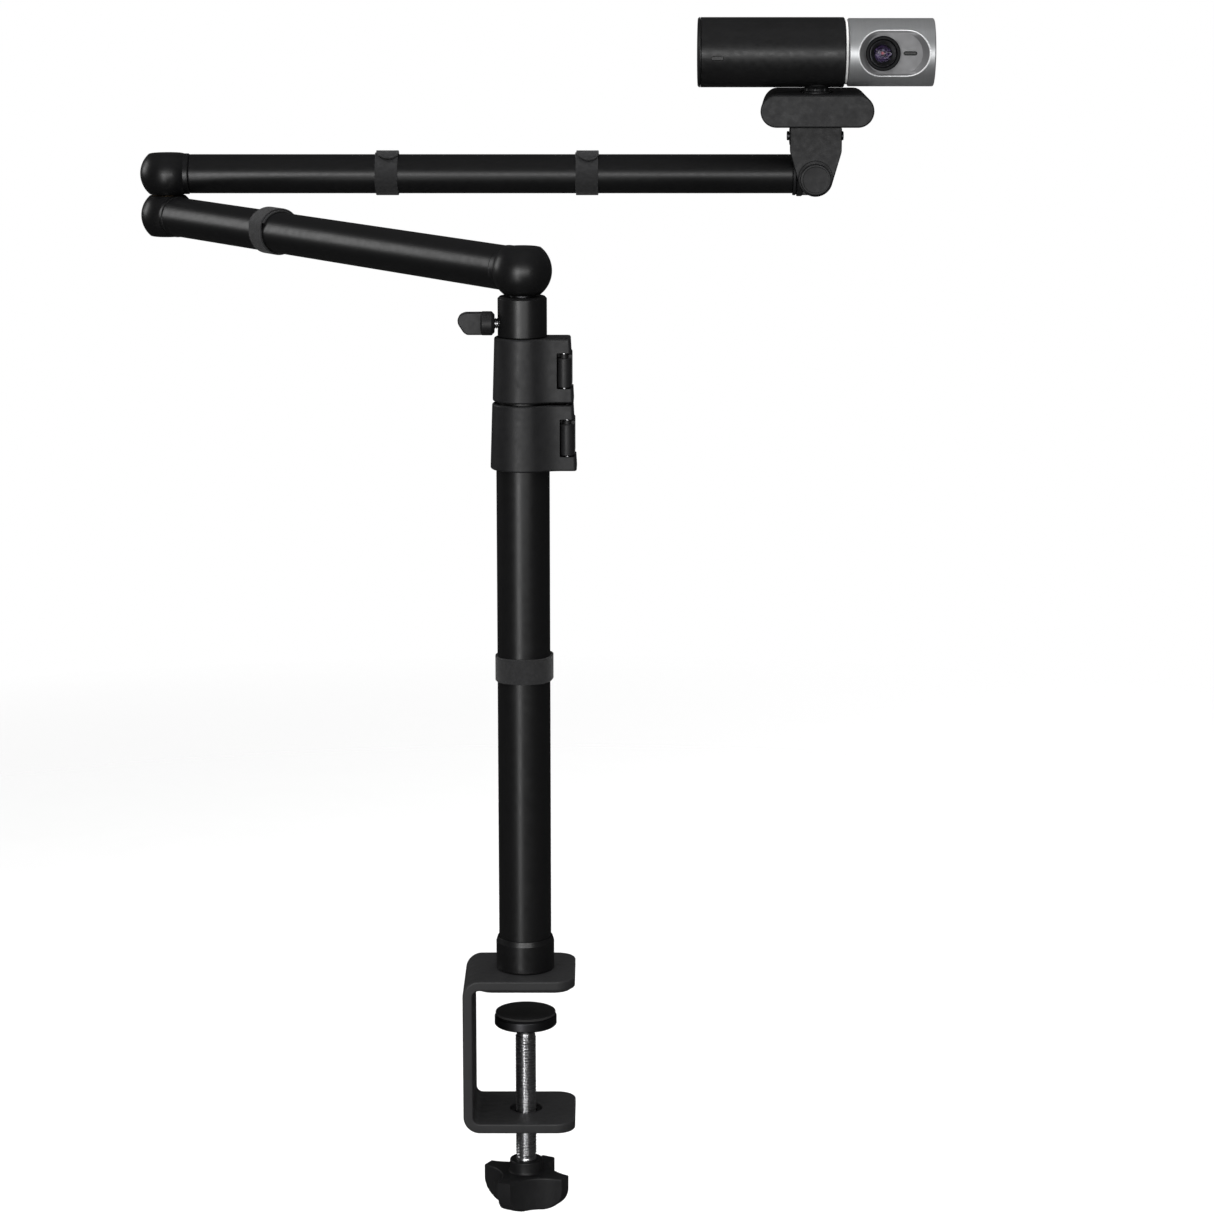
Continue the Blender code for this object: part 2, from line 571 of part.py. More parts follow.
def upper_arm():
    elbow_x = LOWER_ARM * math.cos(LOWER_ARM_TURN)
    elbow_y = LOWER_ARM * math.sin(LOWER_ARM_TURN)
    arm = axis_at("elbow_axis", (elbow_x, elbow_y, SHOULDER_Z + ELBOW_RISE))
    elbow = ball("elbow_upper_ball", ELBOW_R, (0, 0, 0), arm, 1)
    far, recess = 20 * MM, FLAT - 1.8 * MM
    hole = [(0, far), (7.6 * MM, far), (7.6 * MM, recess), (6.5 * MM, recess), (6.5 * MM, 4.3 * MM)]
    hole += [(3.8 * MM, 4.3 * MM), (3.8 * MM, -far), (0, -far)]
    combine(elbow, turned("upper_bolt_hole", hole, parent=arm))
    paint(elbow, "satin_black")
    seat = FLAT - 1.5 * MM
    cap = [(0, FLAT), (7.0 * MM, FLAT), (7.3 * MM, FLAT - 0.3 * MM), (7.3 * MM, seat), (0, seat)]
    paint(turned("elbow_cap", cap, parent=arm, sides=ROUND), "satin_black")

    start = NECK_END + GAP
    sleeve = tube("upper_arm_tube", ARM_R, ARM_R - ARM_WALL, UPPER_TUBE_END, start, along="X", parent=arm)
    paint(sleeve, "satin_black")
    for name, distance in (("upper_arm_strap_near", 118.5 * MM), ("upper_arm_strap_far", 226 * MM)):
        strap(name, ARM_R, distance, (0, 0, 0), "X", arm)
    end = UPPER_TUBE_END + GAP
    plug = [
        (11.1 * MM, end + 1.8 * MM),
        (11.5 * MM, end + 1.4 * MM),
        (11.5 * MM, end),
        (SPIGOT_R, end),
        (SPIGOT_R, end - 20 * MM),
        (4.3 * MM, end - 20 * MM),
        (4.3 * MM, end + 1.8 * MM),
    ]
    paint(turned("arm_end_plug", plug, along="X", parent=arm, ring=True), "moulded_black")
    return arm


# ---------- camera mount ----------


def tip_knuckle(roll, tilt):
    """Turns on the end of the upper arm, and holds the tilt axis across it."""
    ring_end = -5.7 * MM
    ring_start = UPPER_TUBE_END + GAP + 2.1 * MM - TILT_X
    profile = [(0, ring_end), (10.9 * MM, ring_end), (12 * MM, ring_end - 1.1 * MM), (12 * MM, ring_start)]
    profile += [(4 * MM, ring_start), (4 * MM, ring_start - 15 * MM), (0, ring_start - 15 * MM)]
    knuckle = turned("tip_knuckle", profile, along="X", parent=roll)
    front = LEG_FRONT + LEG_T + GAP
    back = 7 * MM
    eye_r = 8.8 * MM
    block = arc((0, 0), eye_r, -90, 90, 12) + [(ring_end - 1 * MM, eye_r), (ring_end - 1 * MM, -eye_r)]
    # The outline is in XZ: its own Y stands up once its own Z lies along -Y.
    block = extruded("knuckle_block", block, -back, -front, parent=tilt)
    block.matrix_local = Matrix.Rotation(math.pi / 2, 4, "X")
    combine(knuckle, block, "UNION")
    combine(knuckle, rod("tilt_hole", 3.3 * MM, 20 * MM, -30 * MM, along="Y", parent=tilt))
    paint(knuckle, "moulded_black")

    disc = LEG_FRONT - 2.3 * MM
    seat = LEG_FRONT + 0.9 * MM
    screw = [(0, back + 4 * MM), (3 * MM, back + 4 * MM), (3 * MM, seat), (8.25 * MM, seat)]
    screw += [(8.25 * MM, disc + 0.5 * MM), (7.75 * MM, disc), (0, disc)]
    paint(turned("tilt_screw", screw, along="Y", parent=tilt), "moulded_black")
    hexagon = arc((0, 0), 6 * MM, 30, 330, 5)
    nut = extruded("tilt_nut", hexagon, back + GAP, back + 3.8 * MM, along="Y", parent=tilt)
    combine(nut, rod("tilt_nut_bore", 3.3 * MM, 20 * MM, 0, along="Y", parent=tilt))
    paint(nut, "steel")


def camera_leg(tilt):
    """Pear-shaped plate with two side cheeks that hold the clip's pin."""
    top = CLIP_BOTTOM - GAP + TILT_DROP
    shoulder = 14.6 * MM
    eye_r = 9.2 * MM
    lean = math.degrees(math.atan2(LEG_HALF - eye_r, shoulder)) * 1.15
    outline = [(LEG_HALF, top), (-LEG_HALF, top), (-LEG_HALF, shoulder)]
    outline += arc((0, 0), eye_r, 180 + lean, 360 - lean, 16)
    outline += [(LEG_HALF, shoulder)]
    # The outline is in XZ: its own Y stands up once its own Z lies along -Y.
    plate = extruded("camera_leg", outline, -LEG_FRONT - LEG_T, -LEG_FRONT, parent=tilt)
    plate.matrix_local = Matrix.Rotation(math.pi / 2, 4, "X")
    soften(plate, 0.5 * MM, 2, 35)
    pin_z = CLIP_AXIS.z + TILT_DROP
    cheek = arc((CLIP_AXIS.y, pin_z), 4.9 * MM, -90, 90, 8)
    front = LEG_FRONT + LEG_T - 1 * MM
    cheek += [(front, pin_z + 4.9 * MM), (front, pin_z - 4.9 * MM)]
    upright = Matrix(((0, 0, 1, 0), (1, 0, 0, 0), (0, 1, 0, 0), (0, 0, 0, 1)))
    for side, inner in (("left", -LEG_HALF), ("right", LEG_HALF - 1.6 * MM)):
        ear = extruded(f"leg_cheek_{side}", cheek, inner, inner + 1.6 * MM, parent=tilt)
        ear.matrix_local = upright
        combine(plate, ear, "UNION")
    combine(plate, rod("clip_pin_hole", 2.3 * MM, 30 * MM, -30 * MM, (0, CLIP_AXIS.y, pin_z), "X", tilt))
    recess = (0, LEG_FRONT, 0.6 * MM)
    combine(plate, rod("disc_recess", 9.1 * MM, 1.2 * MM, -5 * MM, recess, "Y", tilt, ROUND))
    combine(plate, rod("leg_tilt_hole", 3.3 * MM, 20 * MM, -30 * MM, along="Y", parent=tilt))
    paint(plate, "moulded_black")

    half = LEG_HALF + GAP
    pin = [(0, half + 1.1 * MM), (2.45 * MM, half + 1.1 * MM), (2.45 * MM, half), (2 * MM, half)]
    pin += [(r, -z) for r, z in reversed(pin)]
    paint(turned("clip_pin", pin, (0, CLIP_AXIS.y, pin_z), "X", tilt, SMALL), "dark_steel")


def clip_head(clip):
    """The clip's head: wider in front, higher behind, with a tab down to its pin."""
    front = -19.5 * MM
    back = 6.5 * MM
    low = CLIP_BOTTOM - CLIP_AXIS.z
    middle = low + CLIP_H / 2
    head = extruded("clip_head", stadium(CLIP_L, CLIP_H), -back, -front, parent=clip)
    for vertex in head.data.vertices:
        if vertex.co.z < 0:
            vertex.co.x *= 56.0 / 60.5
            vertex.co.y = vertex.co.y * 1.16 + 1.4 * MM
    head.matrix_local = Matrix.Translation((0, 0, middle)) @ Matrix.Rotation(math.pi / 2, 4, "X")
    soften(head, 0.6 * MM, 2, 50)
    tab = arc((0, 0), 4.3 * MM, 180, 360, 10) + [(4.3 * MM, low + 2 * MM), (-4.3 * MM, low + 2 * MM)]
    tab_half = LEG_HALF - 1.6 * MM - 2 * GAP
    tab = extruded("clip_tab", tab, -tab_half, tab_half, parent=clip)
    tab.matrix_local = Matrix(((0, 0, 1, 0), (1, 0, 0, 0), (0, 1, 0, 0), (0, 0, 0, 1)))
    combine(head, tab, "UNION")
    combine(head, rod("tab_bore", 2.3 * MM, 20 * MM, -20 * MM, along="X", parent=clip))
    seat = (0, PAN_Y - CLIP_AXIS.y, low + CLIP_H)
    hole = [(0, 10), (8.2, 10), (8.2, 0), (4.3, 0), (4.3, -9.6), (0, -9.6)]
    combine(head, turned("neck_hole", in_mm(hole), seat, parent=clip))
    paint(head, "moulded_black")


# ---------- camera ----------


def camera_body(pan, rise):
    """Everything that turns on the clip: the neck, the black housing and what it holds."""
    centre = (0, 0, rise)
    top = rise / MM
    neck = [(0, top - 10), (9.2, top - 15), (8.2, top - 17.4), (6.5, top - 18.9), (6.5, 1.6), (7.6, 1.1)]
    neck += [(7.6, 0.3), (4, 0.3), (4, -9.2), (0, -9.2)]
    neck = turned("camera_neck", in_mm(neck), parent=pan)
    combine(neck, rod("neck_saddle", BODY_R + GAP, 30 * MM, -30 * MM, centre, "X", pan, BODY_SIDES))
    combine(neck, rod("neck_stud", 3 * MM, rise - 14.5 * MM, 1 * MM, parent=pan), "UNION")
    paint(neck, "moulded_black")

    wall, end = 1.8 * MM, 0.5 * MM
    open_end = BODY_LEFT + 1.5 * MM
    shell = [
        (BODY_R - end, BODY_RIGHT),
        (BODY_R, BODY_RIGHT - end),
        (BODY_R, open_end),
        (BODY_R - wall, open_end),
        (BODY_R - wall, BODY_RIGHT - 2 * MM),
        (8.4 * MM, BODY_RIGHT - 2 * MM),
        (8.4 * MM, BODY_RIGHT),
    ]
    shell = turned("camera_shell", shell, centre, "X", pan, BODY_SIDES, ring=True)
    combine(shell, rod("stud_hole", 3.3 * MM, -12 * MM, -25 * MM, centre, parent=pan))
    mic = extruded("mic_slot", stadium(6.8 * MM, 2.3 * MM, 6), 14 * MM, 22 * MM, parent=pan)
    mic_place = Matrix.Translation((-53.3 * MM, 0, rise - 2.4 * MM))
    mic.matrix_local = mic_place @ Matrix.Rotation(math.pi / 2, 4, "X")
    combine(shell, mic)
    port_x = -40 * MM
    port = extruded("port_hole", stadium(9.8 * MM, 4.0 * MM, 8), -22 * MM, -12 * MM, parent=pan)
    port.matrix_local = Matrix.Translation((port_x, 0, rise)) @ Matrix.Rotation(math.pi / 2, 4, "X")
    combine(shell, port)
    paint(shell, "satin_black")

    cap = [(0, open_end - GAP), (14.6 * MM, open_end - GAP), (14.6 * MM, open_end + 4 * MM)]
    cap += [(16.3 * MM, open_end + 4 * MM), (16.3 * MM, open_end - GAP), (BODY_R, open_end - GAP)]
    cap += [(BODY_R, BODY_LEFT + 0.7 * MM), (BODY_R - 0.7 * MM, BODY_LEFT), (0, BODY_LEFT)]
    paint(turned("camera_end_cap", cap, centre, "X", pan, BODY_SIDES), "satin_black")

    bearing = [(8.1, 24), (8.1, 15.8), (16.8, 15.8), (16.8, 14.6), (8.1, 14.6), (8.1, 6), (5.5, 6), (5.5, 24)]
    paint(turned("head_bearing", in_mm(bearing), centre, "X", pan, ring=True), "nylon")
    board = box("main_board", (-55 * MM, -13 * MM, -3.5 * MM), (3 * MM, 13 * MM, -2.0 * MM), centre, pan)
    paint(board, "board")
    socket = extruded("usb_socket", stadium(9.2 * MM, 3.4 * MM, 8), -18 * MM, -10.5 * MM, parent=pan)
    hollow = extruded("usb_cavity", stadium(8.4 * MM, 2.6 * MM, 8), -22 * MM, -12 * MM, parent=pan)
    for piece in (socket, hollow):
        piece.matrix_local = Matrix.Translation((port_x, 0, rise)) @ Matrix.Rotation(math.pi / 2, 4, "X")
    paint(combine(socket, hollow), "steel")


def facing(x, piece):
    """Stands a piece up to face the viewer, at this distance along the camera."""
    piece.matrix_local = Matrix.Translation((x, 0, 0)) @ Matrix.Rotation(math.pi / 2, 4, "X")
    return piece


def lens_head(head):
    """The silver head that turns on the bearing. Facing pieces run from -Y depth to -Y depth."""
    wall, end = 1.6 * MM, 0.5 * MM
    shell = [
        (0, HEAD_RIGHT),
        (HEAD_R - end, HEAD_RIGHT),
        (HEAD_R, HEAD_RIGHT - end),
        (HEAD_R, HEAD_LEFT + end),
        (HEAD_R - end, HEAD_LEFT),
        (8.4 * MM, HEAD_LEFT),
        (8.4 * MM, HEAD_LEFT + 1.8 * MM),
        (HEAD_R - wall, HEAD_LEFT + 1.8 * MM),
        (HEAD_R - wall, HEAD_RIGHT - wall),
        (0, HEAD_RIGHT - wall),
    ]
    shell = turned("lens_head_shell", shell, along="X", parent=head, sides=BODY_SIDES)
    window = stadium(WINDOW_L, WINDOW_H, 10)
    combine(shell, facing(WINDOW_X, extruded("window", window, 9 * MM, 22 * MM, parent=head)))
    paint(shell, "silver")

    rim = stadium(WINDOW_L - 2 * GAP, WINDOW_H - 2 * GAP, 10)
    slot_x = 48.5 * MM
    holes = [
        arc((LENS_X - WINDOW_X, 0), 7.3 * MM, 7.5, 352.5, 23),
        stadium(7.2 * MM, 2.2 * MM, 5, (slot_x - WINDOW_X, 0)),
    ]
    bezel = facing(WINDOW_X, extruded("lens_bezel", rim, 10.4 * MM, 20 * MM, parent=head, holes=holes))
    inside = rod("bezel_round", HEAD_R - GAP, 70 * MM, 10 * MM, along="X", parent=head, sides=BODY_SIDES)
    combine(bezel, inside, "INTERSECT")
    floor = stadium(WINDOW_L - 7 * MM, WINDOW_H - 2.6 * MM, 10)
    dish = extruded("bezel_dish", floor, -FLOOR_Y, 22 * MM, parent=head)
    for vertex in dish.data.vertices:
        if vertex.co.z > 20 * MM:
            vertex.co.x *= 1.24
            vertex.co.y *= 1.09
    combine(bezel, facing(WINDOW_X, dish))
    paint(bezel, "grey")
    light = extruded("status_light", stadium(6.6 * MM, 1.6 * MM, 6), 10.6 * MM, 13.0 * MM, parent=head)
    paint(facing(slot_x, light), "gloss_black")

    ring = [(7.0, -3), (7.0, -13.5), (9.15, -13.5), (9.15, -15.6), (8.75, -16), (7.4, -16), (7.1, -15.7)]
    ring += [(4.9, -13.6), (4.9, -3)]
    paint(turned("lens_ring", in_mm(ring), (LENS_X, 0, 0), "Y", head, ring=True), "gloss_black")
    glass = [(0, -11), (4.6, -11), (4.6, -13.0), (3.6, -13.6), (2.0, -13.95), (0, -14.1)]
    paint(turned("lens_glass", in_mm(glass), (LENS_X, 0, 0), "Y", head, SMALL), "glass")
    board = box("sensor_board", (24 * MM, -2.6 * MM, -9 * MM), (52 * MM, -1.2 * MM, 9 * MM), parent=head)
    paint(board, "board")


def camera_group(upper_arm_axis):
    roll = axis_at("roll_axis", (TILT_X, 0, 0), upper_arm_axis)
    tilt = axis_at("tilt_axis", (0, 0, -TILT_DROP), roll)
    tip_knuckle(roll, tilt)
    camera_leg(tilt)
    clip = axis_at("clip_axis", (0, CLIP_AXIS.y, CLIP_AXIS.z + TILT_DROP), tilt)
    clip_head(clip)
    seat_z = CLIP_BOTTOM + CLIP_H
    pan = axis_at("pan_axis", (0, PAN_Y - CLIP_AXIS.y, seat_z - CLIP_AXIS.z), clip)
    rise = CAMERA_Z - seat_z
    camera_body(pan, rise)
    lens_head(axis_at("head_axis", (0, 0, rise), pan))


def main():
    clamp_group()
    clamp_screw_group()
    head_group(mast_group())
    lower_arm()
    camera_group(upper_arm())
    bpy.context.view_layer.update()


main()
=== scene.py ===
"""Fine shapes and finishes for a webcam on a desk-clamp arm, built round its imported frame.

Lengths are in millimetres until a mesh or a matrix is made. A round piece is turned about its own Z, and a
plate is drawn in its own XY plane.
"""

import json
import math

import bmesh
import bpy
from mathutils import Matrix, Vector
from mathutils.geometry import interpolate_bezier


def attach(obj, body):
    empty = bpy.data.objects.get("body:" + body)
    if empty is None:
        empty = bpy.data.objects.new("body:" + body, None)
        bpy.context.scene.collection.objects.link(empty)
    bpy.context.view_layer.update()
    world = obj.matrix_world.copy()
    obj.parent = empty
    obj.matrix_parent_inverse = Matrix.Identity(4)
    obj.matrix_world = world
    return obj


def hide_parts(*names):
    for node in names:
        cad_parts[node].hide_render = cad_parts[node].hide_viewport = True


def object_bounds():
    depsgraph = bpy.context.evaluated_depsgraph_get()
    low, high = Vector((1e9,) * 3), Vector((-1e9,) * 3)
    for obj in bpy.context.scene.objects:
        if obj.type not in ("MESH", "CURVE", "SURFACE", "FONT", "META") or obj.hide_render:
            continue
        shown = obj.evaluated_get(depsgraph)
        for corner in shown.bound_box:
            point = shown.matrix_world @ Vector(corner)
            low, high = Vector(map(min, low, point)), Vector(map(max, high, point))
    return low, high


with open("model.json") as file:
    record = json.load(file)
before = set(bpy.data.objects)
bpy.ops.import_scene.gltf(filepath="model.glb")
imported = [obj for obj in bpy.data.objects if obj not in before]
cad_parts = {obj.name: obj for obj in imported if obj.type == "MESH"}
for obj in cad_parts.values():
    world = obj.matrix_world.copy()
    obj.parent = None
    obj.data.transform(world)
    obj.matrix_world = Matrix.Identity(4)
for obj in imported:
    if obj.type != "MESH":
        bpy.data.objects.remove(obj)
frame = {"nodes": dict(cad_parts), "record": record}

bl_info = {
    "name": "Webcam on a desk-clamp arm",
    "version": (1, 0, 0),
    "blender": (4, 5, 0),
    "location": "3D View > Sidebar > Webcam arm",
    "description": "Builds the visible pieces of a webcam on a clamped arm round its frame",
    "category": "Object",
}

MM = 0.001
CAD_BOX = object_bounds()
SLOT_OF = {part["node"]: part["material_slot"] for part in frame["record"]["subparts"]}
TURN_STEPS = 96
SMALL_STEPS = 48

MAST_R = (12.5, 11.0, 9.5)
ARM_R, ARM_WALL = 10.45, 1.25
BALL_R, ELBOW_BALL_R, BALL_FLAT = 13.9, 14.4, 10.95
THUMB_Z = 317.3
SHOULDER_Z = 341.8
LOWER_TURN = math.radians(125.5)
ELBOW_X, ELBOW_Y, ELBOW_Z = -197.438, 276.799, 364.15
TIP_X = ELBOW_X + 348.1
TILT_Z = 362.4
PIN_Y, PIN_Z = 269.499, 385.0
PAN_Y, PAN_Z = 261.999, 407.6
CAMERA_Z = 429.5
CAMERA_R, HEAD_R = 18.4, 17.9
MIC_X, MIC_Z = TIP_X - 53.3, CAMERA_Z - 2.4
PORT_X = TIP_X - 40.0
WINDOW_X = TIP_X + 39.9
WINDOW_LENGTH, WINDOW_HEIGHT = 38.1, 24.6
DISH_FLOOR = 13.2
LENS_X = TIP_X + 34.0
LIGHT_X = TIP_X + 48.5
VIEWPOINT, LOOKING_DOWN = (0.0393, -1.628, 0.5171), 11.6
FLOOR_RADIUS = 1.5
POLE = 1e-6
SCRAP = 1e-7
WEAVE_UNIT = 20.0


# ---------- outlines ----------


def arc(x, y, radius, start, end, steps):
    """Points along an arc, angles in degrees."""
    turns = [math.radians(start + (end - start) * i / steps) for i in range(steps + 1)]
    return [(x + radius * math.cos(t), y + radius * math.sin(t)) for t in turns]


def rounded(points, closed=False, steps=4):
    """A path whose points are (x, y) or (x, y, radius): a radius rounds that corner."""
    out = []
    last = len(points) - 1
    for i, point in enumerate(points):
        here = Vector(point[:2])
        if len(point) < 3 or (not closed and i in (0, last)):
            out.append(tuple(here))
            continue
        before = Vector(points[i - 1][:2]) - here
        after = Vector(points[(i + 1) % len(points)][:2]) - here
        a, b = before.normalized(), after.normalized()
        half = a.angle(b) / 2
        reach = min(point[2] / math.tan(half), before.length * 0.49, after.length * 0.49)
        centre = here + (a + b).normalized() * (reach / math.cos(half))
        start, end = here + a * reach - centre, here + b * reach - centre
        sweep = math.pi - 2 * half
        for k in range(steps + 1):
            t = k / steps
            spoke = (start * math.sin((1 - t) * sweep) + end * math.sin(t * sweep)) / math.sin(sweep)
            out.append(tuple(centre + spoke))
    return out


def bezier(start, start_handle, end_handle, end, steps):
    knots = [Vector((*p, 0)) for p in (start, start_handle, end_handle, end)]
    return [(p.x, p.y) for p in interpolate_bezier(*knots, steps + 1)]


def stadium(length, height, steps=24, x=0.0, y=0.0):
    half = (length - height) / 2
    return arc(x + half, y, height / 2, -90, 90, steps) + arc(x - half, y, height / 2, 90, 270, steps)


def round_box(half_x, half_y, radius, steps=12, x=0.0, y=0.0):
    corners = [(x + sx * half_x, y + sy * half_y, radius) for sx, sy in ((1, 1), (-1, 1), (-1, -1), (1, -1))]
    return rounded(corners, True, steps)


def strip(path, width):
    """The outline of a strip of this width along a path."""
    left, right = [], []
    for i, point in enumerate(path):
        ahead = Vector(path[min(i + 1, len(path) - 1)]) - Vector(path[max(i - 1, 0)])
        side = Vector((-ahead.y, ahead.x)).normalized() * width / 2
        left.append(tuple(Vector(point) + side))
        right.append(tuple(Vector(point) - side))
    return left + right[::-1]


def anticlockwise(outline):
    area = sum(a[0] * b[1] - b[0] * a[1] for a, b in zip(outline, outline[1:] + outline[:1]))
    return list(outline) if area > 0 else list(outline)[::-1]


def inset(outline, distance):
    """An anticlockwise outline moved inwards."""
    out = []
    for i, point in enumerate(outline):
        here = Vector(point)
        a = (here - Vector(outline[i - 1])).normalized()
        b = (Vector(outline[(i + 1) % len(outline)]) - here).normalized()
        n1, n2 = Vector((-a.y, a.x)), Vector((-b.y, b.x))
        out.append(tuple(here + (n1 + n2) * distance / max(0.2, 1 + n1.dot(n2))))
    return out


# ---------- meshes ----------


def skin(bm, rows, ring=False, capped=False):
    """Faces between rows of points. A row of one point is a pole."""
    loops = [[bm.verts.new(Vector(p) * MM) for p in row] for row in rows]
    count = max(len(row) for row in loops)
    pairs = list(zip(loops, loops[1:])) + ([(loops[-1], loops[0])] if ring else [])
    for one, two in pairs:
        for i in range(count):
            j = (i + 1) % count
            quad = [one[i % len(one)], two[i % len(two)], two[j % len(two)], one[j % len(one)]]
            corners = list(dict.fromkeys(quad))
            if len(corners) > 2:
                bm.faces.new(corners)
    if capped:
        bm.faces.new(loops[0])
        bm.faces.new(loops[-1][::-1])
    return loops


def closed_mesh(name, bm):
    bmesh.ops.remove_doubles(bm, verts=bm.verts, dist=SCRAP)
    bmesh.ops.recalc_face_normals(bm, faces=bm.faces)
    mesh = bpy.data.meshes.new(name)
    bm.to_mesh(mesh)
    bm.free()
    obj = bpy.data.objects.new(name, mesh)
    bpy.context.scene.collection.objects.link(obj)
    return obj


def place(x=0.0, y=0.0, z=0.0, along="Z", turn=0.0):
    """Where a piece stands: its own Z lies along Z, X, -X or Y; "front" faces -Y and "side" faces +X."""
    lay = {
        "Z": Matrix(),
        "X": Matrix.Rotation(math.pi / 2, 4, "Y"),
        "-X": Matrix.Rotation(-math.pi / 2, 4, "Y"),
        "Y": Matrix.Rotation(-math.pi / 2, 4, "X"),
        "front": Matrix.Rotation(math.pi / 2, 4, "X"),
        "side": Matrix(((0, 0, 1, 0), (1, 0, 0, 0), (0, 1, 0, 0), (0, 0, 0, 1))),
    }[along]
    return Matrix.Translation(Vector((x, y, z)) * MM) @ Matrix.Rotation(turn, 4, "Z") @ lay


def lathe(name, profile, where=None, ring=False, steps=TURN_STEPS, radius_at=None):
    """A turned solid from (radius, height) points, each with an optional corner radius. A ring's profile
    closes."""
    bm = bmesh.new()
    rows = []
    for radius, z in rounded(profile, ring):
        if radius < POLE:
            rows.append([(0, 0, z)])
            continue
        row = []
        for i in range(steps):
            turn = 2 * math.pi * i / steps
            r = radius_at(radius, z, turn) if radius_at else radius
            row.append((r * math.cos(turn), r * math.sin(turn), z))
        rows.append(row)
    skin(bm, rows, ring)
    obj = closed_mesh(name, bm)
    obj.matrix_world = where or Matrix()
    return obj


def tube(name, outer, inner, low, high, where=None, lip=0.25):
    profile = [(outer, high, lip), (outer, low, lip), (inner, low, lip), (inner, high, lip)]
    return lathe(name, profile, where, True)


def slab(name, outline, low, high, where=None, edge=0.6, steps=4, layers=(), shape=None):
    """A plate with rounded edges. shape moves each (x, y, z) point."""
    outline = anticlockwise(outline)
    turns = [math.pi / 2 * i / steps for i in range(steps + 1)]
    levels = [(edge * (1 - math.sin(t)), low + edge * (1 - math.cos(t))) for t in turns]
    levels += [(0, z) for z in layers]
    levels += [(edge * (1 - math.cos(t)), high - edge * (1 - math.sin(t))) for t in turns]
    rows = []
    for pull, z in levels:
        rows.append([(x, y, z) for x, y in inset(outline, pull)])
    if shape:
        rows = [[shape(*p) for p in row] for row in rows]
    bm = bmesh.new()
    skin(bm, rows, capped=True)
    obj = closed_mesh(name, bm)
    obj.matrix_world = where or Matrix()
    return obj


def drill(radius, low, high, where=None, steps=SMALL_STEPS):
    """A plain rod, used only to cut with."""
    return lathe("drill", [(0, high), (radius, high), (radius, low), (0, low)], where, steps=steps)


def carve(obj, *tools, operation="DIFFERENCE"):
    """Cuts, joins or keeps what the tools share with obj, and removes the tools."""
    for tool in tools:
        modifier = obj.modifiers.new("carve", "BOOLEAN")
        modifier.operation = operation
        modifier.solver = "EXACT"
        modifier.object = tool
    graph = bpy.context.evaluated_depsgraph_get()
    mesh = bpy.data.meshes.new_from_object(obj.evaluated_get(graph))
    obj.modifiers.clear()
    obj.data = mesh
    for tool in tools:
        bpy.data.objects.remove(tool)
    return obj


def join(obj, *others):
    return carve(obj, *others, operation="UNION")


def threaded_rod(name, root, crest, pitch, start, end, head, tail, where=None, steps=40):
    """A rod with a cut thread between two plain ends, whose profiles are (radius, height) from the top."""
    slices = 8
    rows = [(r, z, 0) for r, z in rounded(head)]
    count = int((start - end) / pitch * slices)
    for i in range(count + 1):
        z = start - (start - end) * i / count
        fade = min(1, (start - z) / pitch, (z - end) / pitch)
        rows.append((root, z, max(0, fade)))
    rows += [(r, z, 0) for r, z in rounded(tail)]
    bm = bmesh.new()
    loops = []
    for radius, z, depth in rows:
        if radius < POLE:
            loops.append([(0, 0, z)])
            continue
        row = []
        for i in range(steps):
            phase = (z / pitch + i / steps) % 1
            tooth = min(1, max(0, (0.5 - abs(phase - 0.5) - 0.12) / 0.24))
            r = radius + (crest - radius) * tooth * depth
            row.append((r * math.cos(2 * math.pi * i / steps), r * math.sin(2 * math.pi * i / steps), z))
        loops.append(row)
    skin(bm, loops)
    obj = closed_mesh(name, bm)
    obj.matrix_world = where or Matrix()
    return obj


def settle(obj, body, slot, *nodes, sharp=32):
    """Shades a finished piece, paints it, and lets it ride on its body in place of its CAD nodes."""
    for polygon in obj.data.polygons:
        polygon.use_smooth = True
    obj.data.set_sharp_from_angle(angle=math.radians(sharp))
    weighted = obj.modifiers.new("even_shading", "WEIGHTED_NORMAL")
    weighted.keep_sharp = True
    obj.data.materials.clear()
    obj.data.materials.append(finish(slot))
    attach(obj, body)
    if nodes:
        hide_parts(*nodes)
    return obj


# ---------- finishes ----------


def new_shader(name):
    material = bpy.data.materials.new(name)
    material.use_nodes = True
    tree = material.node_tree
    return material, tree, tree.nodes["Principled BSDF"]


def node(tree, kind, inputs=None, **settings):
    made = tree.nodes.new(kind)
    for key, value in settings.items():
        setattr(made, key, value)
    for socket, value in (inputs or {}).items():
        if isinstance(value, bpy.types.NodeSocket):
            tree.links.new(value, made.inputs[socket])
        else:
            made.inputs[socket].default_value = value
    return made


def noise(tree, size, detail=3.0, stretch=(1, 1, 1)):
    """Noise whose grains are about this many millimetres wide, stretched along the piece's own axes."""
    where = node(tree, "ShaderNodeTexCoord")
    spread = node(tree, "ShaderNodeMapping", {"Vector": where.outputs["Object"]})
    spread.inputs["Scale"].default_value = [1 / s for s in stretch]
    inputs = {"Vector": spread.outputs["Vector"], "Scale": 1000 / size, "Detail": detail}
    return node(tree, "ShaderNodeTexNoise", inputs).outputs["Fac"]


def remap(tree, value, low, high, out_low, out_high):
    made = node(tree, "ShaderNodeMapRange", {"Value": value, "From Min": low, "From Max": high})
    made.inputs["To Min"].default_value = out_low
    made.inputs["To Max"].default_value = out_high
    return made.outputs["Result"]


def mixed(tree, share, one, two):
    """A colour this share of the way from one to two."""
    return node(tree, "ShaderNodeMix", {0: share, 6: one, 7: two}, data_type="RGBA").outputs[2]


def calculate(tree, operation, one, two=0.0):
    return node(tree, "ShaderNodeMath", {0: one, 1: two}, operation=operation).outputs[0]


